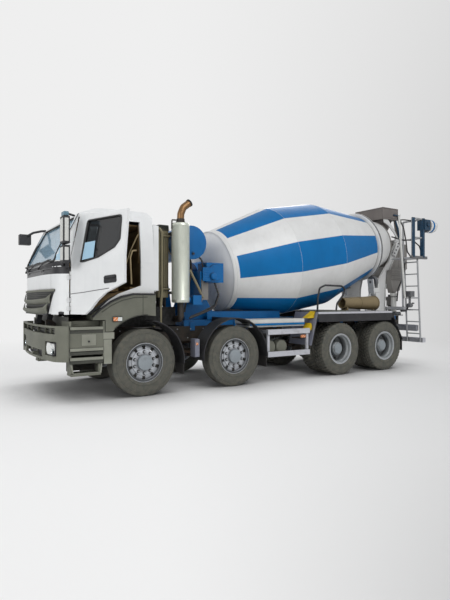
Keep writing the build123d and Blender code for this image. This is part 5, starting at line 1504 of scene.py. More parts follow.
# ---------------------------------------------------------------- cab fittings
@dataclass
class Mirrors:
    """The near side's pair of tall mirrors and the far side's head on its long arm."""

    x: tuple[float, float] = (1.238, 1.332)
    y: tuple[float, float] = (1.265, 1.448)
    heads: tuple[tuple[float, float], ...] = ((2.3, 2.68), (2.035, 2.275))

    def near(self, shape: Shape) -> None:
        """Adds the left mirrors: black housings with pale shells, and their arms."""
        (x0, x1), (y0, y1) = self.x, self.y
        for z0, z1 in self.heads:
            shape.use(Paint.BLACK_TRIM)
            shape.block((x0, y0, z0), (x1, y1, z1))
            shape.use(Paint.PALE_GREY)
            shape.block((x0 + 0.018, y1 - 0.01, z0 + 0.028), (x1 - 0.018, y1 + 0.0035, z1 - 0.028))
            shape.block((x1 - 0.01, y0 + 0.02, z0 + 0.028), (x1 + 0.0035, y1 - 0.02, z1 - 0.028))
            shape.use(Paint.MIRROR)
            shape.block((x0 - 0.0035, y0 + 0.02, z0 + 0.028), (x0 + 0.01, y1 - 0.02, z1 - 0.028))
        shape.use(Paint.CAP)
        shape.block((x0 + 0.012, y0 + 0.02, 2.684), (x1 - 0.012, y1 - 0.02, 2.745))
        shape.use(Paint.BLACK_TRIM)
        top = [(1.285, 1.3, 2.69), (1.285, 1.25, 2.735), (1.18, 1.16, 2.755), (1.075, 1.06, 2.755)]
        shape.tube(top, 0.016, 0.03, 12)
        shape.rod((1.285, 1.305, 2.27), (1.285, 1.305, 2.31), 0.016)
        foot = [(1.285, 1.3, 2.05), (1.282, 1.2, 2.03), (1.24, 1.12, 2.02)]
        shape.tube(foot, 0.018, 0.03, 12)
        shape.block((1.176, 1.138, 1.975), (1.236, 1.176, 2.095))

    def far(self, shape: Shape) -> None:
        """Adds the right mirror: one dark head well ahead of the pillar."""
        shape.use(Paint.BLACK_TRIM)
        shape.block((1.225, -1.445, 2.545), (1.425, -1.29, 2.735))
        arm = [(1.3, -1.3, 2.7), (1.2, -1.23, 2.765), (1.08, -1.12, 2.79), (1.01, -1.045, 2.79)]
        shape.tube(arm, 0.021, 0.04, 12)
        shape.block((1.176, -1.176, 1.975), (1.236, -1.138, 2.095))
        shape.use(Paint.MIRROR)
        shape.block((1.2215, -1.425, 2.575), (1.235, -1.31, 2.705))

    def build(self) -> None:
        """Builds both sides' mirrors."""
        shape = Shape(Paint.BLACK_TRIM)
        self.near(shape)
        self.far(shape)
        shape.piece("mirror_set", "cab", ["mirrors"], bevel=0.012)


@dataclass
class CabInside:
    """The seats, the dashboard, the steering wheel, the linings and the grab handle."""

    seat_y: float = 0.56
    wheel: tuple[float, float, float] = (0.85, 0.56, 2.08)
    wheel_radius: float = 0.225

    def seat(self, shape: Shape, y: float) -> None:
        """Adds one seat on its base."""
        shape.use(Paint.LINING)
        shape.block((0.28, y - 0.17, 1.65), (0.69, y + 0.17, 1.77))
        shape.use(Paint.SEAT)
        shape.block((0.3, y - 0.24, 1.765), (0.8, y + 0.24, 1.89))
        for s in (-1, 1):
            shape.prism([(0.33, 1.885), (0.78, 1.885), (0.79, 1.915), (0.34, 1.93)], Axis.Y,
                        y + s * 0.17, y + s * 0.25)
        shape.prism([(0.23, 1.8), (0.35, 1.8), (0.29, 2.43), (0.19, 2.43)], Axis.Y, y - 0.24, y + 0.24)
        shape.prism([(0.35, 1.9), (0.385, 1.96), (0.33, 2.3), (0.3, 2.38)], Axis.Y, y - 0.17, y + 0.17)
        shape.prism([(0.185, 2.45), (0.28, 2.45), (0.265, 2.6), (0.19, 2.6)], Axis.Y, y - 0.14, y + 0.14)
        for s in (-1, 1):
            shape.rod((0.235, y + s * 0.06, 2.42), (0.235, y + s * 0.06, 2.46), 0.008, 10)

    def dash(self, shape: Shape) -> None:
        """Adds the dashboard with its binnacle and the steering wheel."""
        shape.use(Paint.LINING)
        outline = [(1.178, 1.64), (1.02, 1.66), (0.985, 1.8), (1.01, 1.95), (1.06, 2.025), (1.178, 2.035)]
        shape.prism(outline, Axis.Y, -0.99, 0.99)
        shape.prism([(1.08, 2.02), (0.985, 1.99), (0.975, 2.04), (1.08, 2.085)], Axis.Y, 0.36, 0.76)
        shape.use(Paint.BLACK_TRIM)
        shape.block((0.975, -0.16, 1.72), (0.992, 0.22, 1.93))
        for k in range(5):
            shape.block((0.97, -0.13 + 0.07 * k, 1.84), (0.978, -0.085 + 0.07 * k, 1.885))
        tilt = unit(Vector((-0.19, 0.0, 0.3)))
        along = unit(Vector((0.3, 0.0, 0.19)))
        centre = Vector(self.wheel)

        def spot(radius: float, degrees: float) -> Vector:
            """Returns a point in the steering wheel's plane."""
            a = math.radians(degrees)
            return centre + along * (radius * math.cos(a)) + Vector((0, radius * math.sin(a), 0))

        shape.tube([spot(self.wheel_radius, 12 * i) for i in range(31)], 0.016, 0, 10, False)
        for degrees in (0, 120, 240):
            shape.rod(centre - tilt * 0.02, spot(self.wheel_radius - 0.005, degrees), 0.012, 10)
        shape.rod(centre - tilt * 0.03, centre + tilt * 0.01, 0.05, 20)
        shape.rod((1.03, centre.y, 1.8), centre, 0.03, 16)

    def linings(self, shape: Shape) -> None:
        """Adds the rear, floor and roof linings, the door sill's mat and the grab handle."""
        shape.use(Paint.LINING)
        shape.block((-0.116, -1.06, 1.665), (-0.1, 1.06, 2.7))
        shape.block((-0.1, -1.0, 1.655), (0.19, 1.0, 1.72))
        shape.block((-0.1, -0.98, 2.69), (1.0, 0.98, 2.712))
        sill = [(0.2, 1.652), (0.405, 1.607), (0.565, 1.532), (0.71, 1.432), (0.85, 1.345), (1.15, 1.345),
                (1.15, 1.357), (0.858, 1.357), (0.715, 1.446), (0.57, 1.545), (0.41, 1.62), (0.2, 1.665)]
        shape.prism(sill, Axis.Y, -1.07, 1.07)
        shape.prism([(-0.1, 2.1), (0.05, 2.1), (0.05, 2.7), (-0.1, 2.7)], Axis.Y, 0.985, 1.02)
        shape.use(Paint.WEBBING)
        grab = [(0.1, 1.055, 2.3), (0.17, 1.06, 2.29), (0.205, 1.06, 2.18), (0.185, 1.06, 1.76)]
        shape.tube(grab, 0.013, 0.03, 10)
        belt = [(0.07, 1.055, 2.56), (0.15, 0.92, 2.3), (0.25, 0.84, 1.9)]
        shape.tube(belt, 0.01, 0, 6)

    def build(self) -> None:
        """Builds the cab's inside."""
        shape = Shape(Paint.SEAT)
        for side in (-1, 1):
            self.seat(shape, side * self.seat_y)
        self.dash(shape)
        self.linings(shape)
        shape.piece("cab_inside", "cab", ["cab_interior"], 40, 0.01)


@dataclass
class CabSides:
    """Trims low on the cab's sides: wheel arch lips, seams, marker lamps, step bars and step gratings."""

    out: float = 1.216
    hang_inner: float = 0.96
    hang_outer: float = 1.19
    hang_foot: float = 0.435
    hang_top: float = 0.6
    arch: tuple[tuple[float, float], ...] = ((0.852, 1.262), (0.722, 1.383), (0.566, 1.487), (0.402, 1.56),
                                             (0.205, 1.606), (-0.155, 1.606))

    def lips(self, shape: Shape, side: int) -> None:
        """Adds the rolled lips that follow the fender's upper edge, the seams and the marker lamp."""
        y = side * self.out
        shape.use(Paint.BLACK_TRIM)
        edge = [(x, y, z) for x, z in self.arch]
        shape.tube(rounded_path(edge, 0.1, 6), 0.013, 0, 10)
        shape.use(Paint.GRILLE)
        lower = [*((x - 0.01, y, z - 0.052) for x, z in self.arch[1:5]), (-0.02, y, 1.56)]
        shape.tube(rounded_path(lower, 0.12, 6), 0.0055, 0, 8)
        shape.tube([(0.055, y, 1.27), (0.055, y, 1.6)], 0.003, 0, 6)
        wheel = [(x, y, z) for x, z in arc((FRONT_AXLES[0], HUB_HEIGHT), 0.752, 47, 92, 14)]
        shape.tube(wheel, 0.007, 0, 8)
        shape.use(Paint.CAB)
        shape.block((-0.268, side * 0.975, 1.665), (-0.166, side * 1.085, 2.715))
        near, far = y - side * 0.004, y + side * 0.02
        shape.use(Paint.GRILLE)
        shape.block((0.395, near, 1.188), (0.545, far - 0.008 if side > 0 else far, 1.262))
        shape.use(Paint.HEADLAMP)
        shape.block((0.402, near, 1.196), (0.468, far, 1.254))
        shape.use(Paint.AMBER)
        shape.block((0.47, near, 1.196), (0.538, far, 1.254))

    def steps(self, shape: Shape, side: int) -> None:
        """Adds the step bars and the hatch with its knob."""
        near, far = side * 1.195, side * 1.228
        shape.use(Paint.STEP)
        for z in (1.1, 0.79, 0.655):
            shape.block((0.69, near, z - 0.022), (1.18, far, z + 0.02))
        shape.use(Paint.GRILLE)
        for z in (1.05, 0.735, 0.61):
            shape.block((0.69, near, z - 0.026), (1.18, far - 0.012 if side > 0 else far, z + 0.024))
        shape.use(Paint.STEP)
        for x0, x1, z0, z1 in ((0.8, 1.01, 0.845, 1.01), (0.52, 0.69, 0.93, 1.03), (0.56, 0.68, 0.56, 0.925)):
            shape.block((x0, side * 1.19, z0), (x1, side * 1.219, z1))
        shape.use(Paint.BLACK_TRIM)
        shape.rod((0.905, side * 1.219, 0.905), (0.905, side * 1.228, 0.905), 0.013, 14)
        # near-black sheets behind the steps and behind the front wheel: painted shade
        shape.use(Paint.BLACK)
        shape.block((0.7, side * 0.9, 0.45), (1.15, side * 0.91, 0.64))
        shape.block((-0.7, side * 0.835, 1.09), (0.33, side * 0.825, 1.4))

    def grating(self, shape: Shape, side: int) -> None:
        """Adds the grating that hangs as the lowest step."""
        inner, outer, foot = side * self.hang_inner, side * self.hang_outer, self.hang_foot
        shape.use(Paint.STEP)
        hang = [(1.155, self.hang_top), (1.13, foot), (0.72, foot), (0.705, self.hang_top)]
        shape.tube([(x, outer, z) for x, z in hang], 0.014, 0.03, 10)
        for k in range(12):
            x = 0.735 + k * 0.034
            shape.rod((x, outer, foot), (x, inner, foot), 0.007, 8)
        shape.rod((1.14, inner, foot), (0.71, inner, foot), 0.012, 10)
        for x in (0.715, 1.14):
            shape.tube([(x, outer, foot), (x, inner, foot), (x, inner, self.hang_top)], 0.012, 0.03, 10)

    def build(self) -> None:
        """Builds both sides' trims, the fenders' on the cab and the steps' on the chassis."""
        lips, steps = Shape(Paint.BLACK_TRIM), Shape(Paint.BLACK_TRIM)
        for side in (-1, 1):
            self.lips(lips, side)
            self.steps(steps, side)
            self.grating(steps, side)
        lips.piece("fender_trims", "cab", smooth=40, bevel=0.002)
        steps.piece("step_bars", "chassis", smooth=40, bevel=0.004)


# ---------------------------------------------------------------- behind the cab
@dataclass
class Stack:
    """The upright silencer with its tail pipe, and the air intake tower with its tube frame."""

    x: float = -0.695
    y: float = 1.03
    radius: float = 0.15
    low: float = 1.47
    high: float = 2.8

    def silencer(self, shape: Shape) -> None:
        """Adds the silencer's body with its rolled ends and its straps."""
        shape.use(Paint.STAINLESS)
        r, span = self.radius, self.high - self.low
        body = [(0.0, 0.006), (r - 0.03, 0.0), (r - 0.008, 0.006), (r, 0.022), (r, 0.04), (r + 0.003, 0.045),
                (r, 0.05), (r, span - 0.05), (r + 0.003, span - 0.045), (r, span - 0.04), (r, span - 0.022),
                (r - 0.01, span - 0.004), (r - 0.035, span), (0.0, span + 0.004)]
        shape.lathe(body, (self.x, self.y, self.low), (0, 0, 1), 64)
        shape.use(Paint.CHASSIS)
        shape.rod((self.x, 0.4, 1.045), (self.x, 0.4, 2.69), 0.03)
        for z in (1.62, 2.64):
            shape.block((self.x - 0.035, 0.37, z), (self.x + 0.035, self.y - r + 0.012, z + 0.045))
        shape.block((self.x - 0.05, 0.365, 1.045), (self.x + 0.05, 0.44, 1.14))
        shape.rod((self.x, self.y, self.low + 0.01), (self.x, self.y, 1.3), 0.055)
        shape.tube([(self.x, self.y, 1.32), (self.x, self.y, 1.2), (self.x, 0.5, 1.18)], 0.055, 0.08, 16)

    def tail(self, shape: Shape) -> None:
        """Adds the collar and the tail pipe that curves to the rear."""
        x, y = self.x, self.y
        shape.use(Paint.CHASSIS)
        shape.rod((x, y, self.high), (x, y, self.high + 0.03), 0.078, 28, 0.004)
        shape.rod((x, y, self.high + 0.03), (x, y, self.high + 0.075), 0.068, 28, 0.004)
        shape.use(Paint.BRONZE)
        path = [Vector(p) for p in ((x, y, self.high + 0.06), (x - 0.004, y, 2.96), (x - 0.05, y, 3.07),
                                    (x - 0.155, y, 3.15))]
        shape.tube(rounded_path(path, 0.1, 6), 0.06, 0, 28)
        way = unit(path[-1] - path[-2])
        # black cup in the pipe's mouth: soot, and painted shade inside the open pipe
        shape.use(Paint.BLACK)
        shape.lathe([(0.0, 0.0), (0.054, 0.0), (0.066, 0.002), (0.066, 0.03), (0.052, 0.034), (0.04, 0.012),
                     (0.0, 0.01)], path[-1] - way * 0.005, way, 28)
        shape.use(Paint.CHASSIS)
        brace = [(x + 0.005, y - 0.02, 2.85), (x + 0.15, y - 0.02, 2.85), (x + 0.155, y - 0.02, 2.7)]
        shape.tube(brace, 0.012, 0.02, 10)

    def intake(self) -> None:
        """Builds the intake tower's ribs, cap and tube frame."""
        shape = Shape(Paint.KHAKI)
        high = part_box("air_intake")[1]
        y = high.y + 0.022
        frame_path = [(-0.43, y, 1.13), (-0.43, y, 1.4), (-0.45, y, 1.64), (-0.45, y, 2.66),
                      (-0.405, y - 0.03, 2.745), (-0.385, y - 0.12, 2.7)]
        shape.tube(rounded_path(frame_path, 0.05, 5), 0.022, 0, 14)
        for z in (1.7, 2.6):
            shape.rod((-0.45, y, z), (-0.6, y, z), 0.016, 12)
        for k in range(5):
            x = -0.425 - 0.036 * k
            shape.block((x - 0.01, high.y - 0.004, 1.64), (x + 0.004, high.y + 0.008, 2.56))
        shape.use(Paint.GRILLE)
        for k in range(7):
            z = 2.69 + 0.014 * k
            shape.block((-0.6 + 0.002 * k, high.y - 0.385, z),
                        (-0.395 - 0.002 * k, high.y + 0.006, z + 0.008))
        shape.block((-0.585, high.y - 0.37, 2.69), (-0.41, high.y - 0.01, 2.79))
        shape.use(Paint.HOSE)
        shape.tube([(-0.5, 0.62, 1.58), (-0.5, 0.62, 1.42), (-0.46, 0.3, 1.3)], 0.06, 0.09, 18)
        for z in (1.5, 1.455):
            shape.rod((-0.5, 0.62, z), (-0.5, 0.62, z + 0.012), 0.066, 20)
        shape.piece("intake_frame", "chassis", smooth=40, bevel=0.003)
        dress("air_intake", Paint.KHAKI, 0.006)

    def build(self) -> None:
        """Builds the silencer stack and the intake."""
        shape = Shape(Paint.STAINLESS)
        self.silencer(shape)
        self.tail(shape)
        shape.piece("silencer_stack", "chassis", ["exhaust"])
        self.intake()


@dataclass
class WaterTank:
    """The water tank's dished ends, straps, filler and level glass."""

    x: float = -1.01
    z: float = 2.52
    radius: float = 0.29
    half: float = 0.84

    def build(self) -> None:
        """Builds the tank's fittings."""
        shape = Shape(Paint.BODY_BLUE)
        r = self.radius
        for side in (-1, 1):
            dome = [(r + 0.001, -0.012), (r + 0.005, -0.004), (r + 0.004, 0.006), (r - 0.012, 0.016),
                    (r * 0.75, 0.036), (r * 0.4, 0.052), (0.0, 0.058), (0.0, -0.01)]
            shape.lathe(dome, (self.x, side * self.half, self.z), (0, side, 0), 64)
        shape.use(Paint.GALVANISED)
        for y in (-0.48, 0.48):
            band = [(r + 0.001, -0.022), (r + 0.005, -0.022), (r + 0.005, 0.022), (r + 0.001, 0.022)]
            shape.lathe(band, (self.x, y, self.z), (0, 1, 0), 64)
        shape.rod((self.x, 0.2, self.z + r - 0.01), (self.x, 0.2, self.z + r + 0.045), 0.07, 28, 0.006)
        shape.use(Paint.HOSE)
        end = Vector((self.x, self.half + 0.05, self.z - 0.2))
        shape.rod(end, end + Vector((0, 0.028, 0)), 0.02, 14)
        drain = [(self.x - 0.1, 0.6, self.z - r + 0.02), (self.x - 0.12, 0.62, 2.02),
                 (self.x - 0.05, 0.64, 1.78), (self.x + 0.02, 0.6, 1.3)]
        shape.tube(drain, 0.02, 0.06, 12)
        shape.piece("water_tank_fittings", "chassis")
        dress("water_tank", Paint.BODY_BLUE, 0.004)


@dataclass
class DrumDrive:
    """The drum's drive: gearbox flanges, oil cooler with its cap, struts and hoses."""

    cooler: tuple[Point, Point] = ((-1.41, 0.64, 1.85), (-1.195, 0.905, 2.09))
    hoses: tuple[tuple[Point, ...], ...] = (
        ((-1.5, 0.8, 1.83), (-1.56, 0.84, 1.62), (-1.47, 0.86, 1.42), (-1.2, 0.84, 1.3), (-1.0, 0.8, 1.22)),
        ((-1.47, 0.86, 1.82), (-1.53, 0.9, 1.6), (-1.43, 0.92, 1.38), (-1.15, 0.9, 1.27), (-0.95, 0.86, 1.2)),
        ((-1.26, 0.8, 2.09), (-1.22, 0.82, 2.24), (-1.08, 0.8, 2.32), (-1.0, 0.78, 2.26)),
        ((-1.1, 0.7, 1.9), (-1.18, 0.74, 1.86), (-1.26, 0.76, 1.88)))

    def beams(self, shape: Shape) -> None:
        """Adds the upper beams of the mixer's frame, low under the drum."""
        shape.use(Paint.BODY_BLUE)
        for side in (-1, 1):
            shape.block((-3.3, side * 0.42, 1.15), (-1.56, side * 0.436, 1.3))
            shape.block((-3.3, side * 0.36, 1.296), (-1.56, side * 0.44, 1.306))

    def build(self) -> None:
        """Builds the drive's fittings between the gearbox and the left side."""
        shape = Shape(Paint.BODY_BLUE)
        self.beams(shape)
        (x0, _, z0), (x1, y1, z1) = self.cooler
        shape.block((x0, y1 - 0.01, z0), (x1, y1 + 0.012, z1))
        for k in range(5):
            z = z0 + 0.025 + 0.042 * k
            shape.block((x0 + 0.09, y1 + 0.01, z), (x1 - 0.02, y1 + 0.017, z + 0.018))
        shape.lathe([(0.0, 0.0), (0.045, 0.0), (0.06, 0.012), (0.06, 0.05), (0.045, 0.066), (0.0, 0.07)],
                    (x0 + 0.015, y1 + 0.006, z0 + 0.085), (0, 1, 0), 28)
        shape.use(Paint.STEEL_GREY)
        shape.block((x1 - 0.004, y1 - 0.16, z0 - 0.36), (x1 + 0.008, y1 - 0.02, z0 + 0.02))
        shape.block((x0 + 0.04, y1 - 0.14, 1.52), (x1 - 0.03, y1 - 0.1, z0 + 0.02))
        shape.use(Paint.KHAKI)
        shape.rod((-0.96, 0.86, 2.04), (-1.23, 0.86, 1.56), 0.022, 14)
        shape.use(Paint.HOSE)
        for points in self.hoses:
            shape.tube(rounded_path(points, 0.1, 6), 0.016, 0, 12)
        shape.use(Paint.BODY_BLUE)
        shape.block((-1.2, 0.66, 1.43), (-1.02, 0.88, 1.6))
        shape.block((-1.21, 0.5, 1.6), (-1.17, 0.86, 2.02))
        shape.rod((-1.02, 0.77, 1.52), (-0.97, 0.77, 1.52), 0.055, 20)
        shape.piece("drive_fittings", "chassis", bevel=0.004)
        dress("drum_gearbox", Paint.BODY_BLUE, 0.005)


# ---------------------------------------------------------------- chassis
@dataclass
class Chassis:
    """Finishes and fittings of the frame: bolts, side lockers, markers, chocks and the air tanks' bands."""

    rail_y: float = 0.425
    bolt_pitch: float = 0.27
    clamp_pitch: float = 0.48
    chock_y: tuple[float, float] = (1.02, 1.18)

    def locker(self, shape: Shape) -> None:
        """Adds the long side panel with its blue stripe on both sides."""
        for s in (-1, 1):
            shape.use(Paint.PALE_GREY)
            shape.block((-3.36, s * 0.62, 1.075), (-2.06, s * 1.12, 1.16))
            shape.use(Paint.DRUM_BLUE)
            shape.block((-3.355, s * 1.11, 1.05), (-2.065, s * 1.132, 1.085))
            shape.use(Paint.PALE_GREY)
            shape.block((-3.358, s * 0.63, 1.02), (-2.062, s * 1.11, 1.054))
            shape.use(Paint.CHASSIS)
            for x in (-2.25, -2.7, -3.15):
                shape.block((x - 0.03, s * self.rail_y, 1.03), (x + 0.03, s * 0.7, 1.074))

    def markers(self, shape: Shape) -> None:
        """Adds the orange side markers, the chocks in their holders and the reservoirs' straps."""
        for s in (-1, 1):
            shape.use(Paint.AMBER)
            shape.block((-3.36, s * 1.14, 0.795), (-3.24, s * 1.17, 0.85))
            shape.use(Paint.CHASSIS)
            shape.block((-3.38, s * 0.9, 0.775), (-3.22, 1.164 if s > 0 else -1.17, 0.795))
            near, far = (s * y for y in self.chock_y)
            shape.use(Paint.YELLOW)
            shape.prism([(-3.39, 1.165), (-3.61, 1.3), (-3.56, 1.165)], Axis.Y, near, far)
            shape.prism([(-3.385, 0.93), (-3.48, 1.07), (-3.56, 0.93)], Axis.Y, near, far)
            shape.use(Paint.GALVANISED)
            shape.prism([(-3.33, 0.925), (-3.59, 0.925), (-3.59, 0.912), (-3.33, 0.912)], Axis.Y, near, far)
        for x in (-2.53, -2.81):
            for y in (0.62, 0.95):
                shape.lathe([(0.129, -0.016), (0.136, -0.016), (0.136, 0.016), (0.129, 0.016)],
                            (x, y, 0.656), (0, 1, 0), 36)

    def bolts(self, shape: Shape) -> None:
        """Adds the rows of bolts along the frame's rails and the subframe's clamps."""
        shape.use(Paint.NUT)
        for s in (-1, 1):
            y = s * self.rail_y
            for k in range(30):
                upper = 0.95 - self.bolt_pitch * k
                for x, z in ((upper, 0.99), (upper + 0.06, 0.83)):
                    shape.rod((x, y, z), (x, y + s * 0.012, z), 0.013, 6)
        shape.use(Paint.BODY_BLUE)
        for s in (-1, 1):
            for k in range(12):
                x = -1.25 - self.clamp_pitch * k
                shape.block((x - 0.05, s * 0.419, 0.96), (x + 0.05, s * 0.434, 1.12))

    def build(self) -> None:
        """Builds the fittings and dresses the frame, the engine and the tanks."""
        shape = Shape(Paint.PALE_GREY)
        self.locker(shape)
        self.markers(shape)
        self.bolts(shape)
        shape.piece("chassis_fittings", "chassis", bevel=0.002)
        dress("chassis_frame", Paint.CHASSIS, 0.002)
        dress("mixer_subframe", Paint.BODY_BLUE, 0.004)
        dress("engine", Paint.RUNNING, 0.01)
        dress("tanks", Paint.OLIVE, 0.012)
        dress("guard_rails", Paint.ALUMINIUM, 0.003)


@dataclass
class Guards:
    """The mudguards' edge bands, front flaps, rubber flaps and the tubular guard over the rear ones."""

    rear_x: tuple[float, float] = (-3.62, -5.8)
    top: float = 1.26
    out: float = 1.246

    def bands(self, shape: Shape, side: int) -> None:
        """Adds the pale edge band and slanted front plate of one rear mudguard."""
        x0, x1 = self.rear_x
        near, far = side * (self.out - 0.012), side * (self.out + 0.006)
        shape.use(Paint.ALUMINIUM)
        shape.block((x1 - 0.01, near, self.top - 0.016), (x0 + 0.012, far, self.top + 0.026))
        shape.use(Paint.BLACK_TRIM)
        shape.block((x1 + 0.01, near, 1.085),
                    (x0 - 0.01, far - 0.006 if side > 0 else far, self.top - 0.012))
        shape.use(Paint.LAVENDER)
        shape.prism([(x0 + 0.194, 0.64), (x0 + 0.018, 1.284), (x0 + 0.03, 1.284), (x0 + 0.206, 0.64)],
                    Axis.Y, side * 0.585, side * (self.out + 0.004))
        shape.use(Paint.HOSE)
        shape.prism([(x1 - 0.36, 0.66), (x1 - 0.388, 0.66), (x1 - 0.388, 0.4), (x1 - 0.376, 0.4)], Axis.Y,
                    side * 0.6, side * 1.22)

    def front(self, shape: Shape, side: int) -> None:
        """Adds the rolled edges and the rubber flaps of the arched guards."""
        for x, start, stop in ((FRONT_AXLES[0], 101, 184), (FRONT_AXLES[1], -2, 182)):
            shape.use(Paint.BLACK_TRIM)
            rim = [(along, side * 1.222, up) for along, up in arc((x, HUB_HEIGHT), 0.6665, start, stop, 30)]
            shape.tube(rim, 0.0105, 0, 8)
            shape.use(Paint.HOSE)
            shape.block((x - 0.676, side * 0.9, 0.3), (x - 0.664, side * 1.2, 0.56))
        shape.use(Paint.LAVENDER)
        shape.block((-0.985, side * 1.0, 0.56), (-0.9, side * 1.165, 0.86))
        shape.use(Paint.AMBER)
        shape.block((-0.955, side * 1.16, 0.76), (-0.915, side * 1.172, 0.8))

    def arch(self, shape: Shape) -> None:
        """Adds the black tubular guard that stands on the left rear mudguard."""
        shape.use(Paint.BLACK_TRIM)
        path = [(-3.64, 1.19, 1.285), (-3.65, 1.19, 1.56), (-3.7, 1.19, 1.76), (-3.85, 1.19, 1.815),
                (-4.3, 1.19, 1.808), (-4.44, 1.17, 1.75), (-4.37, 1.15, 1.6), (-4.25, 1.12, 1.45),
                (-4.22, 1.12, 1.285)]
        shape.tube(rounded_path(path, 0.09, 6), 0.019, 0, 14)
        for x, y in ((-3.64, 1.19), (-4.22, 1.12)):
            shape.block((x - 0.05, y - 0.04, 1.282), (x + 0.05, y + 0.04, 1.294))

    def deck(self, shape: Shape) -> None:
        """Adds the grey tread plates on the left rear mudguard's top."""
        shape.use(Paint.OLIVE)
        shape.block((-4.47, 0.72, self.top + 0.021), (-3.66, 1.16, self.top + 0.048))
        for k in range(9):
            x = -3.72 - 0.09 * k
            shape.block((x - 0.004, 0.74, self.top + 0.047), (x + 0.004, 1.14, self.top + 0.052))

    def build(self) -> None:
        """Builds the guards' fittings."""
        shape = Shape(Paint.ALUMINIUM)
        for side in (-1, 1):
            self.bands(shape, side)
            self.front(shape, side)
        self.arch(shape)
        self.deck(shape)
        shape.piece("guard_trims", "chassis", bevel=0.002)
        dress("mudguards", Paint.MUDGUARD, 0.004)


# ---------------------------------------------------------------- rear end
@dataclass
class Pedestal:
    """Fittings of the rear pedestal: roller guards, bolt rows, stiffeners and the outlet machinery below."""

    y: float = 0.412
    column: tuple[float, float] = (-6.79, 0.52)

    def cheeks(self, shape: Shape) -> None:
        """Adds the edges, the bolt rows and the roller guards of both cheeks."""
        line = [(-6.01, 1.6), (-6.25, 1.86), (-6.46, 2.13), (-6.65, 2.37), (-6.74, 2.46),
                (-6.82, 2.7), (-6.96, 2.9)]
        for side in (-1, 1):
            shape.use(Paint.DRUM_WHITE)
            edge = [(x + 0.008, side * (self.y + 0.016), z) for x, z in line]
            shape.tube(rounded_path(edge, 0.15, 6), 0.009, 0, 8)
            shape.use(Paint.GALVANISED)
            for x, z in ((-6.9, 2.78), (-6.97, 2.85), (-6.86, 2.7), (-7.02, 2.93), (-6.94, 2.72)):
                shape.rod((x, side * self.y, z), (x, side * (self.y + 0.02), z), 0.02, 14)
            shape.use(Paint.DRUM_WHITE)
            shape.prism([(-6.83, 2.64), (-6.93, 2.61), (-7.08, 2.84), (-7.06, 2.96), (-6.98, 2.96)], Axis.Y,
                        side * self.y, side * (self.y + 0.055))
            shape.use(Paint.GALVANISED)
            for x, z in ((-6.885, 2.68), (-6.945, 2.76), (-7.005, 2.85), (-7.03, 2.925)):
                shape.rod((x, side * (self.y + 0.05), z), (x, side * (self.y + 0.072), z), 0.017, 12)

    def outlet(self, shape: Shape) -> None:
        """Adds the plate at the left cheek and the column with its valve and its bracket."""
        shape.use(Paint.STEEL_GREY)
        left = self.y + 0.01
        shape.prism([(-6.66, 2.25), (-6.94, 2.25), (-7.02, 1.98), (-6.93, 1.76), (-6.7, 1.7), (-6.62, 1.95)],
                    Axis.Y, left, left + 0.16)
        for z in (2.02, 2.12):
            shape.block((-7.0, left + 0.155, z), (-6.62, left + 0.175, z + 0.03))
        shape.use(Paint.PALE_GREY)
        x, y = self.column
        shape.rod((x, y, 1.16), (x, y, 1.72), 0.062, 24)
        for low, high, radius in ((1.62, 1.7, 0.09), (1.3, 1.34, 0.078)):
            shape.rod((x, y, low), (x, y, high), radius, 24, 0.006)
        shape.use(Paint.GALVANISED)
        for x, y in arc(self.column, 0.074, 0, 315, 7):
            shape.rod((x, y, 1.595), (x, y, 1.62), 0.01, 6)
        shape.rod((-6.7, 0.6, 1.2), (-6.9, 0.6, 1.2), 0.045, 20)
        shape.rod((-6.86, 0.68, 1.27), (-7.02, 0.68, 1.27), 0.032, 18)
        shape.block((-6.96, 0.43, 1.15), (-6.62, 0.66, 1.172))

    def build(self) -> None:
        """Builds the pedestal's fittings."""
        shape = Shape(Paint.DRUM_WHITE)
        self.cheeks(shape)
        self.outlet(shape)
        shape.piece("pedestal_fittings", "chassis", bevel=0.003)
        dress("rear_pedestal", Paint.DRUM_WHITE, 0.003)


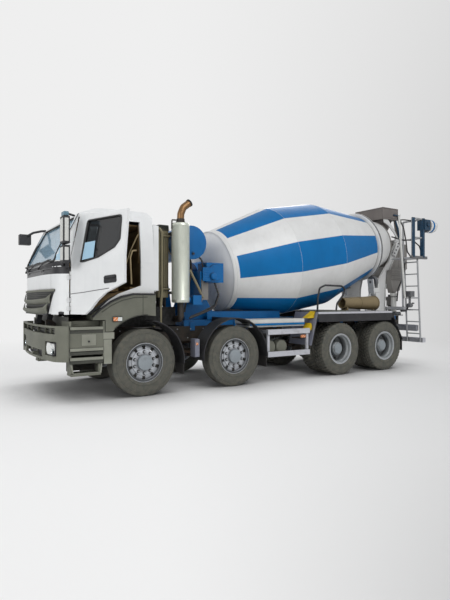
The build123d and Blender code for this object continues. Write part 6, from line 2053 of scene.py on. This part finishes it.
@dataclass
class Hopper:
    """The feed hopper's rim, ribs and dry cement, and the discharge funnel's ribs."""

    x: tuple[float, float] = (-7.06, -6.5)
    half: float = 0.43
    top: float = 3.78
    floor: float = 3.5

    def rim(self, shape: Shape) -> None:
        """Adds the hopper's rolled rim, its corner seams and its side ribs."""
        x0, x1 = self.x
        shape.use(Paint.HOPPER)
        corners = [(x0, -self.half), (x1, -self.half), (x1, self.half), (x0, self.half)]
        ring = [(x, y, self.top - 0.006) for x, y in corners]
        for a, b in zip(ring, ring[1:] + ring[:1]):
            shape.tube([a, b], 0.011, 0, 8)
        for x, y in corners:
            shape.tube([(x, y, self.floor + 0.01), (x, y, self.top - 0.01)], 0.006, 0, 8)
        for side in (-1, 1):
            shape.block((x0, side * (self.half - 0.002), self.floor),
                        (x1, side * (self.half + 0.014), self.floor + 0.03))
        shape.use(Paint.INNER)
        shape.block((x0 + 0.016, -self.half + 0.016, self.floor + 0.014),
                    (x0 + 0.03, self.half - 0.016, self.top - 0.05))
        shape.block((x1 - 0.03, -self.half + 0.016, self.floor + 0.014),
                    (x1 - 0.016, self.half - 0.016, self.top - 0.05))

    def apron(self, shape: Shape) -> None:
        """Adds the white collar plate under the hopper and its blue stand."""
        shape.use(Paint.DRUM_WHITE)
        for side in (-1, 1):
            shape.prism([(-6.54, 3.5), (-6.7, 3.5), (-6.96, 3.24), (-7.09, 3.06), (-7.04, 3.06),
                         (-6.9, 3.2), (-6.7, 3.36), (-6.56, 3.42)], Axis.Y, side * 0.405, side * 0.425)
        shape.use(Paint.STAND_BLUE)
        for side in (-1, 1):
            shape.tube([(-6.96, side * 0.44, 3.48), (-7.02, side * 0.46, 3.3),
                        (-7.1, side * 0.44, 3.08)], 0.022, 0.05, 12)
            shape.tube([(-7.06, side * 0.45, 3.495), (-7.06, side * 0.45, 3.62),
                        (-6.88, side * 0.45, 3.62)], 0.018, 0.03, 12)

    def funnel(self, shape: Shape) -> None:
        """Adds the funnel's rims and ribs."""
        shape.use(Paint.STEEL_GREY)
        for x0, x1, y, z in ((-7.49, -7.17, 0.18, 1.972), (-7.52, -6.76, 0.348, 2.335)):
            ring = [(x0, -y, z), (x1, -y, z), (x1, y, z), (x0, y, z)]
            for a, b in zip(ring, ring[1:] + ring[:1]):
                shape.tube([a, b], 0.01, 0, 8)
        for side in (-1, 1):
            for x in (-7.38, -7.2, -7.02):
                shape.tube([(x, side * 0.35, 2.36), (x, side * 0.35, 2.9)], 0.008, 0, 8)

    def build(self) -> None:
        """Builds the hopper's and the funnel's fittings."""
        shape = Shape(Paint.HOPPER)
        self.rim(shape)
        self.apron(shape)
        self.funnel(shape)
        shape.piece("hopper_fittings", "chassis", bevel=0.002)
        dress("feed_hopper", Paint.HOPPER, 0.004)
        dress("discharge_funnel", Paint.STEEL_GREY, 0.003)


@dataclass
class RearAccess:
    """The ladder's and platform's fittings, the water reel, the light post, the hoses and the rear bar."""

    reel: tuple[float, float, float] = (-7.17, 1.15, 3.28)
    deck_z: float = 2.52
    hose_paths: tuple[tuple[Point, ...], ...] = (
        ((-6.52, 0.9, 3.42), (-6.56, 0.98, 3.2), (-6.62, 1.0, 2.9), (-6.66, 1.0, 2.66), (-6.8, 1.0, 2.54)),
        ((-6.6, 0.6, 3.05), (-6.72, 0.8, 2.96), (-6.86, 1.0, 2.94), (-6.98, 1.1, 2.8), (-7.02, 1.14, 2.56)),
        ((-6.46, 0.93, 3.3), (-6.6, 0.8, 3.4), (-6.8, 0.75, 3.46), (-6.98, 1.0, 3.4)),
        ((-6.64, 0.95, 2.4), (-6.74, 0.84, 2.1), (-6.72, 0.7, 1.8), (-6.78, 0.62, 1.5)))

    def reel_drum(self, shape: Shape) -> None:
        """Adds the striped reel with its blue housing."""
        x, y, z = self.reel
        r = 0.156
        for start, stop, paint in ((0.0, 0.07, Paint.DRUM_WHITE), (0.07, 0.13, Paint.DRUM_BLUE),
                                   (0.13, 0.205, Paint.DRUM_WHITE)):
            shape.use(paint)
            shape.lathe([(0.0, 0.0), (r - 0.012, 0.0), (r, 0.01), (r, stop - start - 0.01),
                         (r - 0.012, stop - start), (0.0, stop - start)], (x - start, y, z), (-1, 0, 0), 40)
        shape.use(Paint.STAND_BLUE)
        shape.block((-7.172, 1.04, 3.17), (-6.975, 1.262, 3.41))
        shape.rod((-7.08, 1.262, 3.3), (-7.08, 1.285, 3.3), 0.05, 20, 0.004)
        shape.rod((-7.06, 1.15, 3.4), (-7.06, 1.15, 3.45), 0.035, 16, 0.004)
        shape.block((-7.015, 1.13, 2.52), (-6.955, 1.22, 3.44))
        shape.block((-6.65, 1.16, 2.52), (-6.59, 1.225, 3.43))

    def steel(self, shape: Shape) -> None:
        """Adds the deck's edge and grating, the light post and the rear bar."""
        shape.use(Paint.PALE_GREY)
        shape.tube([(-6.43, 0.95, 3.49), (-6.64, 0.95, 1.57)], 0.024, 0, 14)
        shape.tube([(-6.435, 0.95, 3.485), (-6.5, 0.93, 3.51), (-6.64, 0.8, 3.5)], 0.014, 0.04, 10)
        for k in range(10):
            x = -6.6 - 0.042 * k
            shape.block((x - 0.006, 0.63, self.deck_z - 0.002), (x + 0.006, 1.19, self.deck_z + 0.006))
        shape.use(Paint.GALVANISED)
        shape.block((-7.12, 1.15, self.deck_z - 0.035), (-6.56, 1.215, self.deck_z + 0.03))
        shape.rod((-6.62, 1.17, 1.45), (-6.67, 1.17, 1.45), 0.02, 10)

    def hoses(self, shape: Shape) -> None:
        """Adds the water and hydraulic hoses."""
        shape.use(Paint.HOSE)
        for points in self.hose_paths:
            shape.tube(rounded_path(points, 0.12, 6), 0.015, 0, 12)

    def rear_lamp_posts(self, shape: Shape) -> None:
        """Adds the working lamp's box with its joint beside the ladder."""
        shape.use(Paint.GALVANISED)
        shape.block((-6.99, 0.8, 1.6), (-6.84, 0.96, 1.74))
        shape.rod((-6.915, 0.88, 1.6), (-6.915, 0.88, 1.44), 0.028, 16)
        shape.rod((-6.86, 0.88, 1.4), (-6.97, 0.88, 1.4), 0.052, 20)
        shape.rod((-6.915, 0.88, 1.46), (-6.915, 0.8, 1.3), 0.02, 14)
        shape.block((-6.99, 0.4, 1.28), (-6.84, 0.96, 1.31))

    def build(self) -> None:
        """Builds the rear access' fittings."""
        shape = Shape(Paint.DRUM_WHITE)
        self.reel_drum(shape)
        self.steel(shape)
        self.hoses(shape)
        self.rear_lamp_posts(shape)
        shape.piece("rear_access_fittings", "chassis", bevel=0.003)
        dress("ladder", Paint.LADDER, 0.002)
        dress("chute_head", Paint.STEEL_GREY, 0.004)
        dress("chute", Paint.STEEL_GREY, 0.002)
        spare = Shape(Paint.PIPE)
        low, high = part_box("spare_chute")
        y, z = (low.y + high.y) / 2, low.z + 0.155
        for along, radius in ((0.004, 0.158), (0.5, 0.1335), (0.985, 0.113)):
            spare.lathe([(radius - 0.006, -0.014), (radius + 0.003, -0.014), (radius + 0.003, 0.014),
                         (radius - 0.006, 0.014)], (low.x + along, y, z), (1, 0, 0), 36)
        spare.piece("spare_chute_rims", "chassis")
        dress("spare_chute", Paint.PIPE, 0.002)


# ---------------------------------------------------------------- studio
@dataclass
class Studio:
    """The pale floor with its backdrop, the soft lamps and the camera."""

    eye: tuple[float, float, float] = (3.05, 8.27, 1.49)
    look: tuple[float, float, float] = (-0.5386, -0.8426, 0.0032)
    lens: float = 29.1
    # the next two colours are the ends of the painted shade across the backdrop, the first also the lit
    # floor's colour
    pale: str = "#efefef"
    far: str = "#c0c0c0"
    share: float = 0.65

    def floor(self) -> None:
        """Builds the floor that curves up into a backdrop on every side."""
        shape = Shape()
        profile = [(0.0, -0.001), (6.0, -0.001), (16.0, -0.001),
                   *arc((30.0, 9.999), 10.0, -90, 0, 9), (40.0, 40.0)]
        shape.lathe(profile, (-3.0, 0.0, 0.0), (0, 0, 1), 96, False)
        shape.shown("studio_floor", [self.paper()])

    def paper(self) -> bpy.types.Material:
        """Returns the matt white paper of the floor, which camera rays mostly see as a glowing colour, with
        painted shade towards the right and the bottom of the view and a painted shadow under the truck.
        """
        recipe = Recipe("studio_paper")
        place = recipe.node("ShaderNodeNewGeometry").outputs["Position"]
        ray = recipe.node("ShaderNodeVectorMath", {"operation": "SUBTRACT"},
                          {0: place, 1: self.eye}).outputs[0]
        way = unit(Vector((self.look[0], self.look[1], 0)))
        depth, right, up = (recipe.node("ShaderNodeVectorMath", {"operation": "DOT_PRODUCT"},
                                        {0: ray, 1: axis}).outputs[1]
                            for axis in (tuple(way), (way.y, -way.x, 0.0), (0.0, 0.0, 1.0)))
        # painted shade: the backdrop's glowing colour darkens from pale towards the right and the bottom of
        # the view
        beside = recipe.maths("POWER", recipe.span(recipe.maths("DIVIDE", right, depth), -0.15, 0.5), 1.4)
        below = recipe.span(recipe.maths("DIVIDE", up, depth), 0.62, -0.62, 0.42, 1.0)
        shaded_backdrop_colour = recipe.mix(recipe.maths("MULTIPLY", beside, below), linear(self.pale), linear(self.far))
        flat = recipe.node("ShaderNodeVectorMath", {"operation": "DISTANCE"},
                           {0: place, 1: (-3.0, 0.0, 0.0)})
        away = recipe.span(flat.outputs[1], 5.5, 12.0, self.share, 1.0)
        # painted shadow: ambient occlusion darkens the glowing floor under and round the truck
        shade = recipe.node("ShaderNodeAmbientOcclusion", {"samples": 12}, {"Distance": 1.3}).outputs["AO"]
        dark = recipe.mix(recipe.span(shade, 0.4, 0.94, 1.0, 0.0), shaded_backdrop_colour, linear("#161616"))
        path = recipe.node("ShaderNodeLightPath")
        rays = recipe.maths("MAXIMUM", path.outputs["Is Camera Ray"],
                            recipe.maths("MAXIMUM", path.outputs["Is Glossy Ray"],
                                         path.outputs["Is Transmission Ray"]))
        matt = recipe.node("ShaderNodeBsdfDiffuse", {}, {"Color": linear(self.pale)})
        glow = recipe.node("ShaderNodeEmission", {}, {"Color": dark, "Strength": 1.0})
        both = recipe.node("ShaderNodeMixShader", {}, {0: recipe.maths("MULTIPLY", away, rays),
                                                       1: matt.outputs[0], 2: glow.outputs[0]})
        recipe.node("ShaderNodeOutputMaterial", {}, {"Surface": both.outputs[0]})
        return recipe.material

    def lamp(self, name: str, place: Point, aim: Point, size: float, watts: float) -> None:
        """Adds a square soft lamp.

        Args:
            name: Its name.
            place: Where it stands.
            aim: The point that it faces.
            size: The length of its sides.
            watts: Its power.
        """
        light = bpy.data.lights.new(name, "AREA")
        light.size = size
        light.energy = watts
        lamp = bpy.data.objects.new(name, light)
        bpy.context.scene.collection.objects.link(lamp)
        lamp.location = place
        lamp.rotation_euler = (Vector(aim) - Vector(place)).to_track_quat("-Z", "Y").to_euler()

    def world(self) -> None:
        """Sets the even light from all round."""
        world = bpy.data.worlds.new("studio_world")
        bpy.context.scene.world = world
        world.use_nodes = True
        tree = world.node_tree
        tree.nodes.clear()
        glow = add_node(tree, "ShaderNodeBackground", {}, {"Color": linear("#f4f6f8"), "Strength": 0.75})
        add_node(tree, "ShaderNodeOutputWorld", {}, {"Surface": glow.outputs[0]})

    def camera(self) -> None:
        """Sets the camera at a standing person's height, ahead and to the left of the truck."""
        data = bpy.data.cameras.new("main_camera")
        data.lens = self.lens
        camera = bpy.data.objects.new("main_camera", data)
        bpy.context.scene.collection.objects.link(camera)
        camera.location = self.eye
        camera.rotation_euler = Vector(self.look).to_track_quat("-Z", "Y").to_euler()
        bpy.context.scene.camera = camera

    def build(self) -> None:
        """Builds the whole studio."""
        self.floor()
        self.world()
        self.lamp("key_lamp", (-2.0, 11.0, 10.0), (-3.0, 0.0, 1.5), 6.0, 620.0)
        self.lamp("front_lamp", (10.0, 5.0, 5.0), (0.0, 0.0, 1.5), 4.0, 360.0)
        self.lamp("back_lamp", (-10.0, -6.0, 8.0), (-4.0, 0.0, 2.0), 5.0, 300.0)
        self.camera()
        bpy.context.scene.view_settings.view_transform = "Standard"


def main() -> None:
    """Builds the truck's looks, part by part, and logs each part as it starts."""
    logging.basicConfig(level=logging.INFO, format="%(name)s: %(message)s")
    parts = [Wheels(), Drum(), CabFront(), Doors(), Bumper(), Mirrors(), CabInside(), CabSides(), Stack(),
             WaterTank(), DrumDrive(), Chassis(), Guards(), Pedestal(), Hopper(), RearAccess(), Studio()]
    for part in parts:
        LOG.info("building %s", type(part).__name__)
        part.build()


if __name__ == "__main__":
    main()
